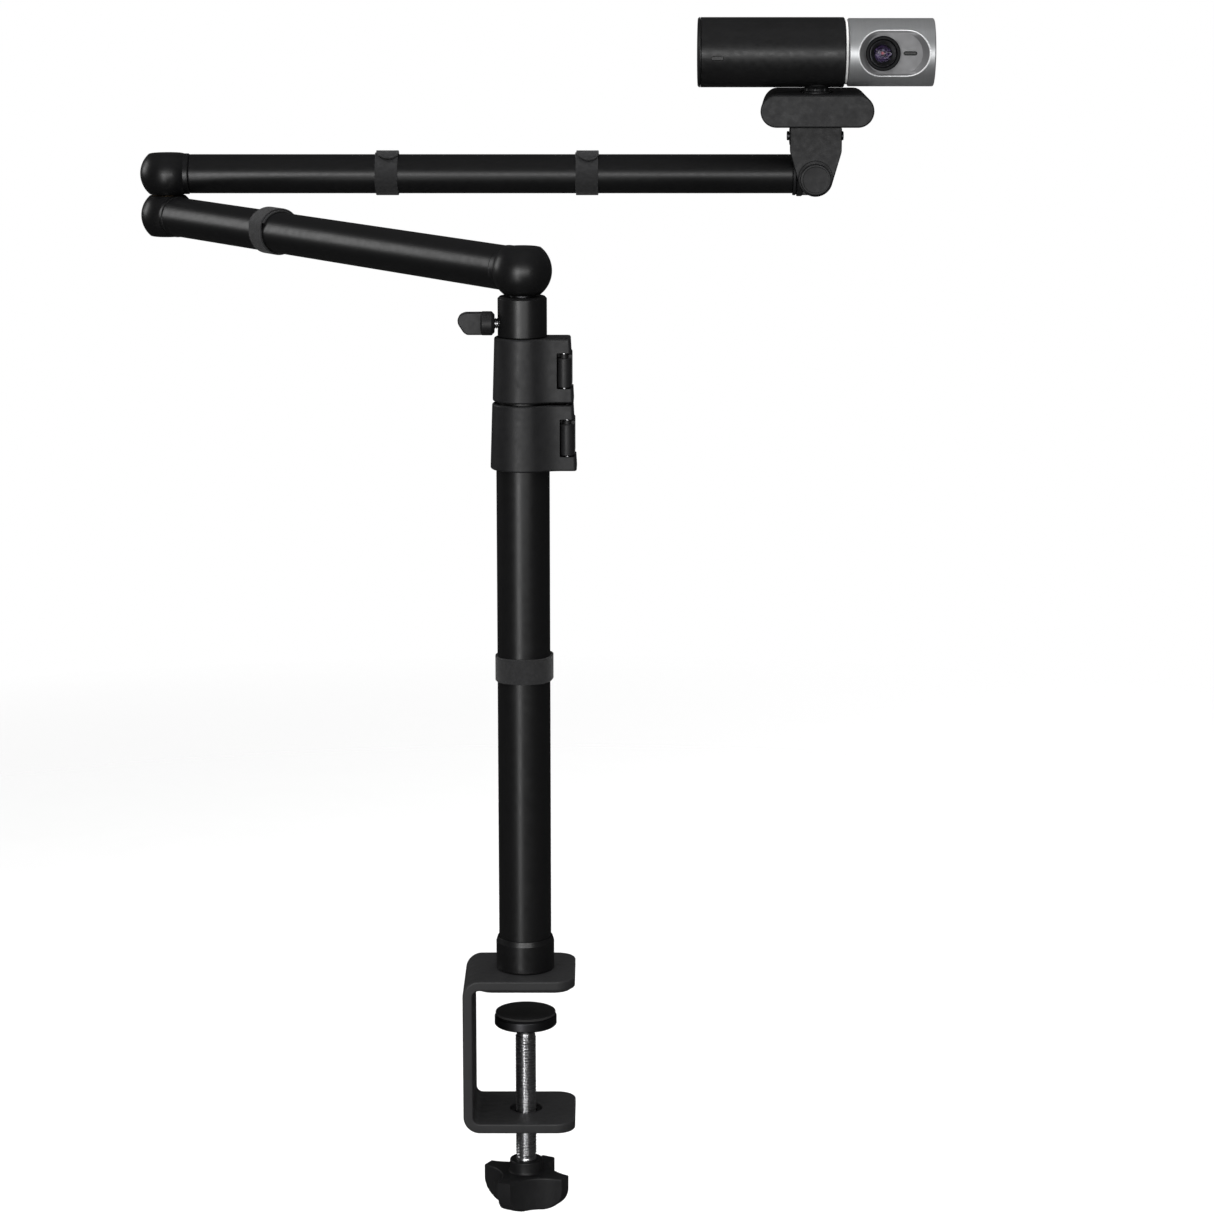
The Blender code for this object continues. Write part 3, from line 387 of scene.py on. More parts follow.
def shade(colour, factor):
    return (*[min(1.0, c * factor) for c in colour], 1)


def edges(tree, width):
    """1 on outer edges that handling has rubbed, 0 on faces."""
    soft = node(tree, "ShaderNodeBevel", {"Radius": width * MM}, samples=4)
    hard = node(tree, "ShaderNodeNewGeometry")
    dot = node(tree, "ShaderNodeVectorMath", operation="DOT_PRODUCT")
    tree.links.new(soft.outputs["Normal"], dot.inputs[0])
    tree.links.new(hard.outputs["Normal"], dot.inputs[1])
    return remap(tree, dot.outputs["Value"], 1.0, 0.93, 0.0, 1.0)


def surface(
    name,
    colour,
    roughness,
    grain=0.25,
    depth=0.01,
    metallic=0.0,
    specular=0.5,
    stretch=(1, 1, 1),
    tone=0.18,
    spread=0.07,
    rubbed=0.0,
):
    """A plain finish with the fine grain, uneven tone, uneven gloss and rubbed edges of a used surface."""
    material, tree, principled = new_shader(name)
    broad = noise(tree, 14, 2)
    fine = noise(tree, grain, 4, stretch)
    base = mixed(tree, broad, shade(colour, 1 - tone), shade(colour, 1 + tone))
    base = mixed(tree, remap(tree, fine, 0.3, 0.7, 0.0, 0.35), base, shade(colour, 1.35))
    if rubbed:
        wear = remap(tree, noise(tree, 2.5, 3), 0.42, 0.62, 0.0, rubbed)
        patchy = calculate(tree, "MULTIPLY", edges(tree, 0.5), wear)
        base = mixed(tree, patchy, base, shade(colour, 3.2))
    tree.links.new(base, principled.inputs["Base Color"])
    gloss = calculate(tree, "MULTIPLY", remap(tree, noise(tree, 3.5, 3), 0.3, 0.7, -1, 1), spread)
    gloss = calculate(tree, "ADD", gloss, roughness)
    tree.links.new(gloss, principled.inputs["Roughness"])
    bump = node(tree, "ShaderNodeBump", {"Height": fine, "Distance": depth * MM, "Strength": 1.0})
    tree.links.new(bump.outputs["Normal"], principled.inputs["Normal"])
    principled.inputs["Metallic"].default_value = metallic
    principled.inputs["Specular IOR Level"].default_value = specular
    return material


def webbing(name, colour):
    """Hook-and-loop cloth: diagonal ribs and loops of pile, on the strap's own length and width."""
    material, tree, principled = new_shader(name)
    where = node(tree, "ShaderNodeTexCoord")
    rib_scale, lean = 6.28 / 0.55, math.radians(38)
    ribs = []
    for angle in (lean, -lean):
        turned = node(tree, "ShaderNodeMapping", {"Vector": where.outputs["UV"]})
        turned.inputs["Rotation"].default_value = (0, 0, angle)
        wave = node(tree, "ShaderNodeTexWave", {"Vector": turned.outputs["Vector"], "Scale": rib_scale})
        wave.inputs["Distortion"].default_value = 0.8
        wave.inputs["Detail"].default_value = 1.5
        ribs.append(wave.outputs["Fac"])
    weave = calculate(tree, "MULTIPLY", ribs[0], ribs[1])
    pile = noise(tree, 0.16, 5)
    height = calculate(tree, "ADD", weave, calculate(tree, "MULTIPLY", pile, 0.9))
    fluff = noise(tree, 1.6, 4)
    base = mixed(tree, weave, shade(colour, 0.75), shade(colour, 1.5))
    base = mixed(tree, remap(tree, fluff, 0.4, 0.75, 0.0, 0.5), base, shade(colour, 2.1))
    tree.links.new(base, principled.inputs["Base Color"])
    tree.links.new(remap(tree, pile, 0.3, 0.7, 0.62, 0.86), principled.inputs["Roughness"])
    bump = node(tree, "ShaderNodeBump", {"Height": height, "Distance": 0.09 * MM, "Strength": 0.9})
    tree.links.new(bump.outputs["Normal"], principled.inputs["Normal"])
    principled.inputs["Sheen Weight"].default_value = 0.1
    principled.inputs["Sheen Roughness"].default_value = 0.45
    return material


def brushed(name, colour, roughness, metallic=1.0):
    """Metal brushed round the piece's own Z, so that each scratch runs round it."""
    material, tree, principled = new_shader(name)
    lines = noise(tree, 1.0, 6, (30, 30, 0.09))
    broad = noise(tree, 9, 2, (6, 6, 1))
    base = mixed(tree, broad, shade(colour, 0.93), shade(colour, 1.06))
    base = mixed(tree, remap(tree, lines, 0.35, 0.65, 0.0, 0.6), base, shade(colour, 1.18))
    tree.links.new(base, principled.inputs["Base Color"])
    gloss = remap(tree, lines, 0.3, 0.7, roughness - 0.06, roughness + 0.08)
    tree.links.new(gloss, principled.inputs["Roughness"])
    bump = node(tree, "ShaderNodeBump", {"Height": lines, "Distance": 0.004 * MM, "Strength": 1.0})
    tree.links.new(bump.outputs["Normal"], principled.inputs["Normal"])
    principled.inputs["Metallic"].default_value = metallic
    return material


def lens_coating_with_painted_glint(name, tint_and_glint_stops, roughness):
    """Rings of tint round the lens's own axis, as a coated glass shows, with a red spot at the centre that is
    a painted glint.
    """
    material, tree, principled = new_shader(name)
    where = node(tree, "ShaderNodeTexCoord")
    flat = node(tree, "ShaderNodeMapping", {"Vector": where.outputs["Object"]})
    flat.inputs["Scale"].default_value = (1000 / 4.6, 1000 / 4.6, 0)
    reach = node(tree, "ShaderNodeVectorMath", {0: flat.outputs["Vector"]}, operation="LENGTH")
    ramp = node(tree, "ShaderNodeValToRGB", {"Fac": reach.outputs["Value"]})
    elements = ramp.color_ramp.elements
    elements[0].position, elements[0].color = tint_and_glint_stops[0][0], (*tint_and_glint_stops[0][1], 1)
    elements[1].position, elements[1].color = tint_and_glint_stops[-1][0], (*tint_and_glint_stops[-1][1], 1)
    for position, colour in tint_and_glint_stops[1:-1]:
        elements.new(position).color = (*colour, 1)
    smear = noise(tree, 1.2, 3)
    base = mixed(tree, remap(tree, smear, 0.4, 0.7, 0.0, 0.2), ramp.outputs["Color"], (0.03, 0.05, 0.06, 1))
    tree.links.new(base, principled.inputs["Base Color"])
    tree.links.new(remap(tree, smear, 0.3, 0.7, roughness, roughness + 0.05), principled.inputs["Roughness"])
    principled.inputs["Specular IOR Level"].default_value = 0.1
    return material


def clear_glass(name, tint):
    material, tree, principled = new_shader(name)
    dust = noise(tree, 0.5, 4)
    tree.links.new(mixed(tree, dust, shade(tint, 0.95), shade(tint, 1.05)), principled.inputs["Base Color"])
    tree.links.new(remap(tree, dust, 0.5, 0.8, 0.01, 0.06), principled.inputs["Roughness"])
    principled.inputs["Transmission Weight"].default_value = 1.0
    principled.inputs["IOR"].default_value = 1.2
    principled.inputs["Specular IOR Level"].default_value = 0.15
    return material


def circuit_board(name, colour):
    """Solder mask over traces."""
    material, tree, principled = new_shader(name)
    where = node(tree, "ShaderNodeTexCoord")
    tiles = node(tree, "ShaderNodeTexBrick", {"Vector": where.outputs["Object"], "Scale": 320.0})
    tiles.inputs["Color1"].default_value = shade(colour, 0.8)
    tiles.inputs["Color2"].default_value = shade(colour, 1.2)
    tiles.inputs["Mortar"].default_value = shade(colour, 2.0)
    tiles.inputs["Mortar Size"].default_value = 0.03
    tree.links.new(tiles.outputs["Color"], principled.inputs["Base Color"])
    tree.links.new(remap(tree, noise(tree, 1.5), 0.3, 0.7, 0.3, 0.5), principled.inputs["Roughness"])
    return material


def finish(slot):
    """The material of a record slot, made once."""
    found = bpy.data.materials.get("finish_" + slot)
    if found:
        return found
    look = bpy.context.scene.webcam_arm_finishes
    name = "finish_" + slot
    anodised = {"stretch": (1, 1, 14), "tone": 0.12, "spread": 0.035}
    makers = {
        "satin_black": (surface, tuple(look.anodised), look.anodised_gloss, 0.18, 0.0022, anodised),
        "powder_black": (surface, tuple(look.powder), 0.5, 0.55, 0.035, {"rubbed": 0.35}),
        "moulded_black": (surface, tuple(look.moulded), 0.46, 0.3, 0.02, {"specular": 0.34, "rubbed": 0.3}),
        "camera_black": (surface, tuple(look.housing), 0.38, 0.12, 0.004, {"rubbed": 0.15}),
        "rubber": (surface, (0.018, 0.018, 0.018), 0.82, 0.8, 0.05, {"specular": 0.3}),
        "webbing": (webbing, tuple(look.webbing), {}),
        "steel": (brushed, (0.62, 0.62, 0.63), 0.26, {}),
        "dark_steel": (brushed, (0.09, 0.09, 0.095), 0.38, {}),
        "brass": (brushed, (0.07, 0.052, 0.03), 0.5, {}),
        "nylon": (surface, (0.52, 0.52, 0.51), 0.45, 0.6, 0.008, {"tone": 0.04}),
        "silver": (brushed, tuple(look.silver), 0.44, {"metallic": 0.9}),
        "grey": (surface, (0.13, 0.13, 0.133), 0.42, 0.15, 0.003, {"metallic": 0.3, "tone": 0.05}),
        "gloss_black": (surface, (0.004, 0.004, 0.0045), 0.3, 0.5, 0.0008, {"specular": 0.3, "spread": 0.04}),
        "glass": (clear_glass, (0.9, 0.86, 0.95), {}),
        "board": (circuit_board, (0.02, 0.12, 0.06), {}),
    }
    maker, *values, settings = makers[slot]
    return maker(name, *values, **settings)


# ---------- clamp ----------


def bent_strip():
    """The clamp's steel strip, drawn flat with its rounded corners and edges, then bent twice."""
    top_x, bend_x, mid_r, half_t = 24.0, -21.5, 5.6, 2.4
    top_z, wall_x, low_z = 3.6, -27.1, -67.6
    upper_centre, lower_centre = -2.0, -62.0
    run, curve, wall = top_x - bend_x, mid_r * math.pi / 2, upper_centre - lower_centre
    marks = [run, run + curve, run + curve + wall, run + 2 * curve + wall]
    total = marks[3] + run
    outline = round_box(total / 2, 24.0, 9.0, 14, x=total / 2)
    obj = slab("clamp_frame_strip", outline, -half_t, half_t, edge=0.8)
    bm = bmesh.new()
    bm.from_mesh(obj.data)
    cuts = [marks[0] + curve * i / 12 for i in range(13)] + [marks[2] + curve * i / 12 for i in range(13)]
    for cut in cuts:
        everything = bm.verts[:] + bm.edges[:] + bm.faces[:]
        bmesh.ops.bisect_plane(bm, geom=everything, plane_co=(cut * MM, 0, 0), plane_no=(1, 0, 0), dist=SCRAP)
    for vertex in bm.verts:
        s, y, t = (c / MM for c in vertex.co)
        if s <= marks[0]:
            x, z = top_x - s, top_z + t
        elif s <= marks[1]:
            turn = math.pi / 2 + (s - marks[0]) / mid_r
            x, z = bend_x + (mid_r + t) * math.cos(turn), upper_centre + (mid_r + t) * math.sin(turn)
        elif s <= marks[2]:
            x, z = wall_x - t, upper_centre - (s - marks[1])
        elif s <= marks[3]:
            turn = math.pi + (s - marks[2]) / mid_r
            x, z = bend_x + (mid_r + t) * math.cos(turn), lower_centre + (mid_r + t) * math.sin(turn)
        else:
            x, z = bend_x + (s - marks[3]), low_z - t
        vertex.co = Vector((x, y, z)) * MM
    bmesh.ops.recalc_face_normals(bm, faces=bm.faces)
    bm.to_mesh(obj.data)
    bm.free()
    carve(obj, lathe("nut_seat", [(0, -60), (8.4, -64.6), (7.8, -65.6), (7.8, -75), (0, -75)]))
    carve(obj, lathe("bolt_seat", [(0, 9), (4.3, 9), (4.3, 5.4), (8.5, 1.2), (8.5, -1), (0, -1)]))
    settle(obj, "clamp", "powder_black", "clamp_frame", sharp=40)


def hexagon_nut(name, across, low, high, bore, where=None, turn=0.0):
    """A hexagon with both ends turned to a chamfer, and a chamfered bore."""
    corners = [(*p, 0.3) for p in arc(0, 0, across, turn, turn + 300, 5)]
    obj = slab(name, rounded(corners, True, 3), low, high, where, 0.05, 1)
    flat, rise = across * 0.88, across * 0.07
    clear = across + 0.1
    turned = [(0, high), (flat, high), (clear, high - rise), (clear, low + rise), (flat, low), (0, low)]
    carve(obj, lathe("nut_turning", turned, where), operation="INTERSECT")
    mouth = bore + 1.6
    hole = [(0, high + 1), (mouth, high + 1), (bore, high - 0.6), (bore, low + 0.6), (mouth, low - 1)]
    hole += [(0, low - 1)]
    return carve(obj, lathe("nut_bore", hole, where, steps=SMALL_STEPS))


def clamp_hardware():
    pad = slab("desk_pad_rubber", round_box(22.4, 22.4, 8.0, x=-0.4), 0, 0.9, edge=0.25, steps=2)
    settle(pad, "clamp", "rubber", "desk_pad")
    nut = hexagon_nut("clamp_nut_steel", 10.0, -75.0, -70.3, 5.3)
    spigot = [(7.5, -66.2, 0.4), (7.5, -71.0), (5.3, -71.0), (5.3, -66.2, 0.4)]
    join(nut, lathe("nut_spigot", spigot, ring=True))
    settle(nut, "clamp", "dark_steel", "clamp_nut")
    collar = [(12.8, 22.0), (13.15, 22.0, 0.15), (13.9, 19.6, 0.5), (13.9, 6.3, 0.4), (4.2, 6.3)]
    collar = lathe("base_collar_turned", collar + [(4.2, 14), (12.8, 14)], ring=True)
    settle(collar, "clamp", "satin_black", "base_collar")


def pressure_foot():
    pad = [(0, -16.0), (14.5, -16.0, 0.35), (14.5, -17.2, 0.2), (0, -17.2)]
    settle(lathe("pressure_pad_rubber", pad), "pressure_foot", "rubber", "pressure_pad")
    disc = [(0, -17.5), (14.2, -17.5), (15, -18.3, 0.3), (15, -22, 0.3), (14.4, -22.6, 0.3)]
    disc += [(8.0, -22.6, 0.4), (7.2, -22.2, 0.3), (4.6, -22.2), (4.6, -18.9), (0, -18.9)]
    settle(lathe("pressure_disc_steel", disc), "pressure_foot", "dark_steel", "pressure_disc")


def clamp_handle():
    head = [(0, -19.2), (2.2, -19.2), (4.0, -20.4, 0.5), (4.0, -22.2, 0.5), (3.2, -23.2), (3.2, -25.5)]
    head += [(4.25, -26.8)]
    tail = [(4.9, -90.2), (4.9, -91.5), (4.0, -92.2), (4.0, -105.5), (0, -105.5)]
    screw = threaded_rod("clamp_screw_threaded", 4.25, 5.0, 1.5, -27.0, -89.6, head, tail)
    settle(screw, "clamp_handle", "steel", "clamp_screw", sharp=50)

    tip_r, wing, low, high = 22.0, 3.5, -113.5, -97.0
    outline = []
    for k in range(4):
        turn = Matrix.Rotation(math.radians(61 + 90 * k), 2)
        valley = bezier((tip_r, wing), (11, 4.5), (4.5, 11), (wing, tip_r), 22)
        outline += [tuple(turn @ Vector(p)) for p in [(tip_r, -wing)] + valley[:-1]]

    def domed(x, y, z):
        reach = math.hypot(x, y)
        drop = max(0.0, low + 10 - z)
        most = 11 + math.sqrt(max(0.0, 10.9**2 - (drop * 1.06) ** 2))
        limit = min(1.0, most / max(reach, POLE))
        return x * limit, y * limit, z

    layers = [low + 1.2 + 0.7 * i for i in range(14)] + [-100.0]
    knob = slab("clamp_knob_moulded", outline, low, high, edge=1.0, layers=layers, shape=domed)
    hub = [(0, -91), (8, -91, 0.8), (8, -96), (9.2, -97.6), (0, -101)]
    join(knob, lathe("knob_hub", hub))
    carve(knob, lathe("knob_bore", [(0, -88), (4.9, -90.6), (4.3, -91.4), (4.3, -106), (0, -106)]))
    settle(knob, "clamp_handle", "moulded_black", "clamp_knob", sharp=38)


# ---------- mast ----------


def mast_tubes():
    wall = 1.2
    spans = [("lower", "clamp", 14.3, 272.0), ("mid", "mid_mast", 27.3, 302.9)]
    spans += [("upper", "upper_mast", 43.3, 311.0)]
    for (which, body, low, high), radius in zip(spans, MAST_R):
        made = tube(which + "_tube_anodised", radius, radius - wall, low, high)
        settle(made, body, "satin_black", which + "_tube")


def lock_outline(radius, ear_x):
    """Round body with an ear to +X, into which its front face flows."""
    front, back = -9.6, 8.0
    start = math.degrees(math.asin(back / radius))
    body = arc(0, 0, radius, start, 297, 72)
    last = Vector(body[-1])
    along = Vector((-last.y, last.x)).normalized() * 5
    flow = bezier(tuple(last), tuple(last + along), (ear_x - 10, front), (ear_x - 6, front), 18)
    ear = rounded([flow[-1], (ear_x, front, 1.6), (ear_x, back, 1.6), body[0]], steps=6)
    return body + flow[1:] + ear[1:-1]


def lock(prefix, low, height, radius, ear_x, tube_r, body, lever_body):
    """Split collar, its hinge pin, bush and tension bolt, and the lever that closes it."""
    high, middle = low + height, low + height / 2
    notch_x, notch_low, notch_high = ear_x - 7.2, low + 6.6, high - 6.6
    pivot_x, pivot_y = ear_x - 3.7, -6.3
    bolt_x = notch_x + 1.9

    def tapered(x, y, z):
        grow = 1 + 0.033 * (middle - z) / (height / 2)
        return x * grow, y * grow, z

    outline = lock_outline(radius, ear_x)
    collar = slab(prefix + "_collar_moulded", outline, low, high, edge=0.9, layers=[middle], shape=tapered)
    bore_r = tube_r + 0.3
    mouth_r = bore_r + 1.5
    bore = [(0, high + 1), (mouth_r, high + 1), (bore_r, high - 0.5), (bore_r, low + 0.5), (mouth_r, low - 1)]
    bore += [(0, low - 1)]
    slit = [(tube_r - 3, 2.2), (ear_x + 4, 2.2), (ear_x + 4, 3.3), (tube_r - 3, 3.3)]
    slit = slab("slit", slit, low - 2, high + 2, edge=0.01, steps=1)
    core = ear_x - 3.4
    notch = [(notch_x, -14), (ear_x + 6, -14), (ear_x + 6, 14), (core, 14), (core, -2.2, 0.5)]
    notch += [(notch_x, -2.2, 0.5)]
    pocket = slab("pocket", rounded(notch, True), notch_low, notch_high, edge=0.5, steps=3)
    hole = drill(1.5, low + 2, high + 5, place(pivot_x, pivot_y, 0))
    carve(collar, lathe("bore", bore), slit)
    carve(collar, pocket, hole)
    carve(collar, drill(1.65, -12, 20, place(bolt_x, 0, middle, "Y")))
    settle(collar, body, "moulded_black", prefix + "_collar", sharp=38)

    pin = [(0, high - 0.2), (1.2, high - 0.2, 0.25), (1.2, low + 2.3, 0.2), (0, low + 2.3)]
    pin = lathe(prefix + "_pin_steel", pin, place(pivot_x, pivot_y), steps=SMALL_STEPS)
    settle(pin, body, "steel", prefix + "_pin")
    bolt = [(0, 10.2), (1.8, 10.2, 0.2), (1.8, 8.4), (1.35, 8.4), (1.35, -2.5), (0, -2.5)]
    bolt = lathe(prefix + "_bolt_steel", bolt, place(bolt_x, 0, middle, "Y"), steps=SMALL_STEPS)
    settle(bolt, body, "dark_steel", prefix + "_bolt")
    bush = tube(prefix + "_bush_moulded", tube_r, tube_r - 1.2, high - 7.9, high - 0.3)
    settle(bush, body, "moulded_black", prefix + "_bush")

    half = (notch_high - notch_low) / 2 - 0.6
    reach = radius + 3.3
    side, back = (2.1, 15.8), (-pivot_x, reach - pivot_y)
    path = [(2.1, 0.0)] + bezier(side, (2.1, 23.8), (back[0] + 9, back[1]), back, 26)
    path += arc(-pivot_x, -pivot_y, reach, 92, 112, 8)
    where = place(pivot_x, pivot_y, middle)
    lever = slab(prefix + "_lever_moulded", strip(path, 3.2), -half, half, where, edge=0.7)
    step = half - 1.9
    barrel = [(0, half), (2.0, half), (2.0, step), (3.3, step, 0.4), (3.3, -half, 0.3), (0, -half)]
    join(lever, lathe("barrel", barrel, where))
    carve(lever, drill(1.5, -half - 5, half + 5, where))
    settle(lever, lever_body, "moulded_black", prefix + "_lever", sharp=38)


def mast_locks():
    lock("lower_lock", 249.3, 30.9, 14.7, 24.5, MAST_R[0], "clamp", "lower_lever")
    lock("upper_lock", 281.2, 29.9, 13.55, 23.2, MAST_R[1], "mid_mast", "upper_lever")


def mast_head():
    """The turned socket on top of the mast, and its thumb screw."""
    collar = [(0, 311.6), (6.3, 311.6), (6.3, 330, 0.3), (10.5, 330, 0.15), (11.46, 329, 0.3)]
    collar += [(11.46, 311.4, 0.3), (8.0, 311.4), (8.0, 291.4, 0.4), (0, 291.4)]
    socket = lathe("head_collar_turned", collar)
    where = place(0, 0, THUMB_Z, "-X")
    carve(socket, drill(2.8, 3, 16, where))
    settle(socket, "upper_mast", "satin_black", "head_collar")

    head = [(0, 5.8), (1.7, 5.8, 0.2), (2.1, 6.3)]
    tail = [(2.1, 16.6), (2.1, 17.4), (0, 17.4)]
    ends = tail[::-1], head[::-1]
    stud = threaded_rod("thumb_screw_stud_threaded", 2.1, 2.5, 0.8, 16.4, 6.4, *ends, where, 32)
    settle(stud, "thumb_screw", "steel", "thumb_screw_stud", sharp=50)
    hub = [(0, 12.9), (4.2, 12.9), (5.6, 14.2, 0.5), (5.6, 18.6, 0.6), (4.9, 19.3, 0.5), (0, 19.3)]
    knob = lathe("thumb_screw_knob_moulded", hub, where)
    wing = [(-16, -5.3, 1.3), (-16, 5.3, 1.3), (-26.5, 5.2, 4), (-28.9, 4.2, 3), (-30.1, 2.0, 3)]
    wing += [(-29.8, -0.4, 4), (-27.2, -4.3, 3), (-25.6, -5.3, 2)]
    join(knob, slab("wing", rounded(wing, True), -2.4, 2.4, place(0, 0, THUMB_Z, "front"), edge=0.8))
    carve(knob, drill(2.7, 10, 17.7, where))
    settle(knob, "thumb_screw", "moulded_black", "thumb_screw_knob", sharp=40)


# ---------- arms ----------


def ball(name, radius, where, heading, body, *tools):
    """A ball with turned flats, and the neck on which a tube seats, this many radians round from +X."""
    flat = BALL_FLAT
    tilt = math.degrees(math.asin(flat / radius))
    rim = radius * math.cos(math.radians(tilt))
    profile = [(0, flat), (rim - 0.5, flat), (rim - 0.12, flat - 0.1)]
    profile += arc(0, 0, radius, tilt - 1.2, -tilt + 1.2, 40)
    profile += [(rim - 0.12, -flat + 0.1), (rim - 0.5, -flat), (0, -flat)]
    obj = lathe(name + "_turned", profile, where)
    neck = [(0, 28), (8.9, 28, 0.5), (8.9, 12.2), (ARM_R, 12.2, 0.15), (10.9, 11.7, 0.25), (10.9, 2), (0, 2)]
    join(obj, lathe("neck", neck, where @ place(along="X", turn=heading)))
    carve(obj, *tools)
    settle(obj, body, "satin_black", name, sharp=28)


def arm_joints():
    shoulder = place(0, 0, SHOULDER_Z)
    hole = drill(5.3, -20, 3.5, shoulder)
    ball("shoulder_ball", BALL_R, shoulder, LOWER_TURN, "lower_arm", hole)
    spigot = [(0, 3.2), (5, 3.2), (5, -10.9), (6, -11.4, 0.2), (6, -20.6), (5.4, -21.2, 0.3)]
    spigot += [(5.4, -27.6, 0.3), (6, -28.2), (6, -29.4), (5.6, -29.8), (0, -29.8)]
    settle(lathe("shoulder_spigot_turned", spigot, shoulder), "lower_arm", "dark_steel", "shoulder_spigot")

    low = place(ELBOW_X, ELBOW_Y, SHOULDER_Z)
    hole = [(0, 20), (8.7, 20), (8.7, 9.95), (3.8, 9.95), (3.8, -5.5), (6.5, -5.5), (6.5, -10.4), (7.0, -11)]
    hole = lathe("hole", hole + [(7.0, -20), (0, -20)], low)
    ball("elbow_lower_ball", ELBOW_BALL_R, low, LOWER_TURN + math.pi, "lower_arm", hole)
    high = place(ELBOW_X, ELBOW_Y, ELBOW_Z)
    hole = [(0, 20), (7.6, 20), (7.6, 9.15), (6.5, 9.15), (6.5, 4.3), (3.8, 4.3), (3.8, -20), (0, -20)]
    ball("elbow_upper_ball", ELBOW_BALL_R, high, 0.0, "upper_arm", lathe("hole", hole, high))

    cap = [(0, BALL_FLAT), (6.9, BALL_FLAT, 0.3), (7.3, 10.6, 0.15), (7.3, 9.45), (0, 9.45)]
    settle(lathe("elbow_cap_turned", cap, high), "upper_arm", "satin_black", "elbow_cap")
    washer = tube("elbow_washer_brass", 8.4, 3.9, 10.25, 11.15, low, 0.15)
    settle(washer, "lower_arm", "brass", "elbow_washer")
    bolt = [(0, 30.85), (3.4, 30.85, 0.3), (3.4, -5.8), (6.2, -5.8, 0.3), (6.2, -9.6, 0.6), (0, -9.6)]
    bolt = lathe("elbow_bolt_steel", bolt, low, steps=SMALL_STEPS)
    key = slab("key", arc(0, 0, 3.3, 0, 300, 5), -12, -7.2, low, 0.01, 1)
    settle(carve(bolt, key), "lower_arm", "dark_steel", "elbow_bolt")


def lower_axis():
    return place(0, 0, SHOULDER_Z, "X", LOWER_TURN)


def upper_axis():
    return place(ELBOW_X, ELBOW_Y, ELBOW_Z, "X")


def arm_tubes():
    for body, end, where in (("lower_arm", 327.5, lower_axis()), ("upper_arm", 336.3, upper_axis())):
        made = tube(body + "_tube_anodised", ARM_R, ARM_R - ARM_WALL, 12.5, end, where)
        settle(made, body, "satin_black", body + "_tube")
    plug = [(11.0, 338.4, 0.3), (11.5, 337.9, 0.3), (11.5, 336.6, 0.2), (8.9, 336.6), (8.9, 316.6)]
    plug += [(4.3, 316.6), (4.3, 338.4)]
    plug = lathe("arm_end_plug_moulded", plug, upper_axis(), True)
    settle(plug, "upper_arm", "moulded_black", "arm_end_plug")


def strap(name, body, tube_r, middle, where, start, turns, skew, tail, lift):
    """A flat band wound round its tube: it climbs over its own first end, and its tail has a round tip.

    start is the angle in degrees where the band begins, skew how far it wanders along the tube, and lift how
    far the tip stands off."""
    shapes = bpy.context.scene.webcam_arm_shapes
    thick, width = shapes.strap_thickness / MM, shapes.strap_width / MM
    inner = tube_r + 0.12
    steps = int(132 * turns)
    side, corner = width / 2, min(0.28, thick * 0.4)
    section = [(-side, 0, corner), (side, 0, corner), (side, thick, corner), (-side, thick, corner)]
    section = rounded(section, True, 3)
    bm = bmesh.new()
    uv_layer = bm.loops.layers.uv.new("length_and_width")
    rows, along = [], []
    run = 0.0
    before = None
    for i in range(steps + 1):
        share = i / steps
        swept = 2 * math.pi * turns * share
        climb = min(1.0, max(0.0, (swept - 2 * math.pi + 0.45) / 0.45))
        climb = climb * climb * (3 - 2 * climb)
        left = (1 - share) * 2 * math.pi * turns * inner
        loose = max(0.0, 1 - left / tail)
        radius = inner + climb * (thick + 0.08) + lift * loose * loose
        narrow = math.sqrt(max(0.02, 1 - (1 - min(1.0, left / 5.5)) ** 2))
        drift = skew * (share - 0.5) * 2 + skew * 1.3 * loose * loose
        ripple = 0.1 * math.sin(3 * swept + 1.1) + 0.06 * math.sin(7 * swept)
        turn = math.radians(start) + swept
        row = []
        for across, up in section:
            r = radius + up
            row.append((r * math.cos(turn), r * math.sin(turn), middle + across * narrow + drift + ripple))
        centre = Vector((radius * math.cos(turn), radius * math.sin(turn), drift))
        run += (centre - before).length if before else 0.0
        before = centre
        rows.append(row)
        along.append(run)
    loops = skin(bm, rows, capped=True)
    spot = {}
    for row, distance in zip(loops, along):
        for vertex, (across, up) in zip(row, section):
            spot[vertex] = (distance / WEAVE_UNIT, (across + up) / WEAVE_UNIT)
    for face in bm.faces:
        for loop in face.loops:
            loop[uv_layer].uv = spot[loop.vert]
    obj = closed_mesh(name + "_woven", bm)
    obj.matrix_world = where
    settle(obj, body, "webbing", name, sharp=60)


def straps():
    strap("mast_strap", "clamp", MAST_R[0], 154.0, Matrix(), 20, 1.3, 0.25, 12, 0.1)
    strap("lower_arm_strap", "lower_arm", ARM_R, 227.0, lower_axis(), 120, 1.42, 0.6, 22, 1.0)
    strap("upper_arm_strap_near", "upper_arm", ARM_R, 118.5, upper_axis(), 100, 1.35, 0.35, 14, 0.5)
    strap("upper_arm_strap_far", "upper_arm", ARM_R, 226.0, upper_axis(), 112, 1.33, 0.35, 14, 0.4)


# ---------- camera mount ----------


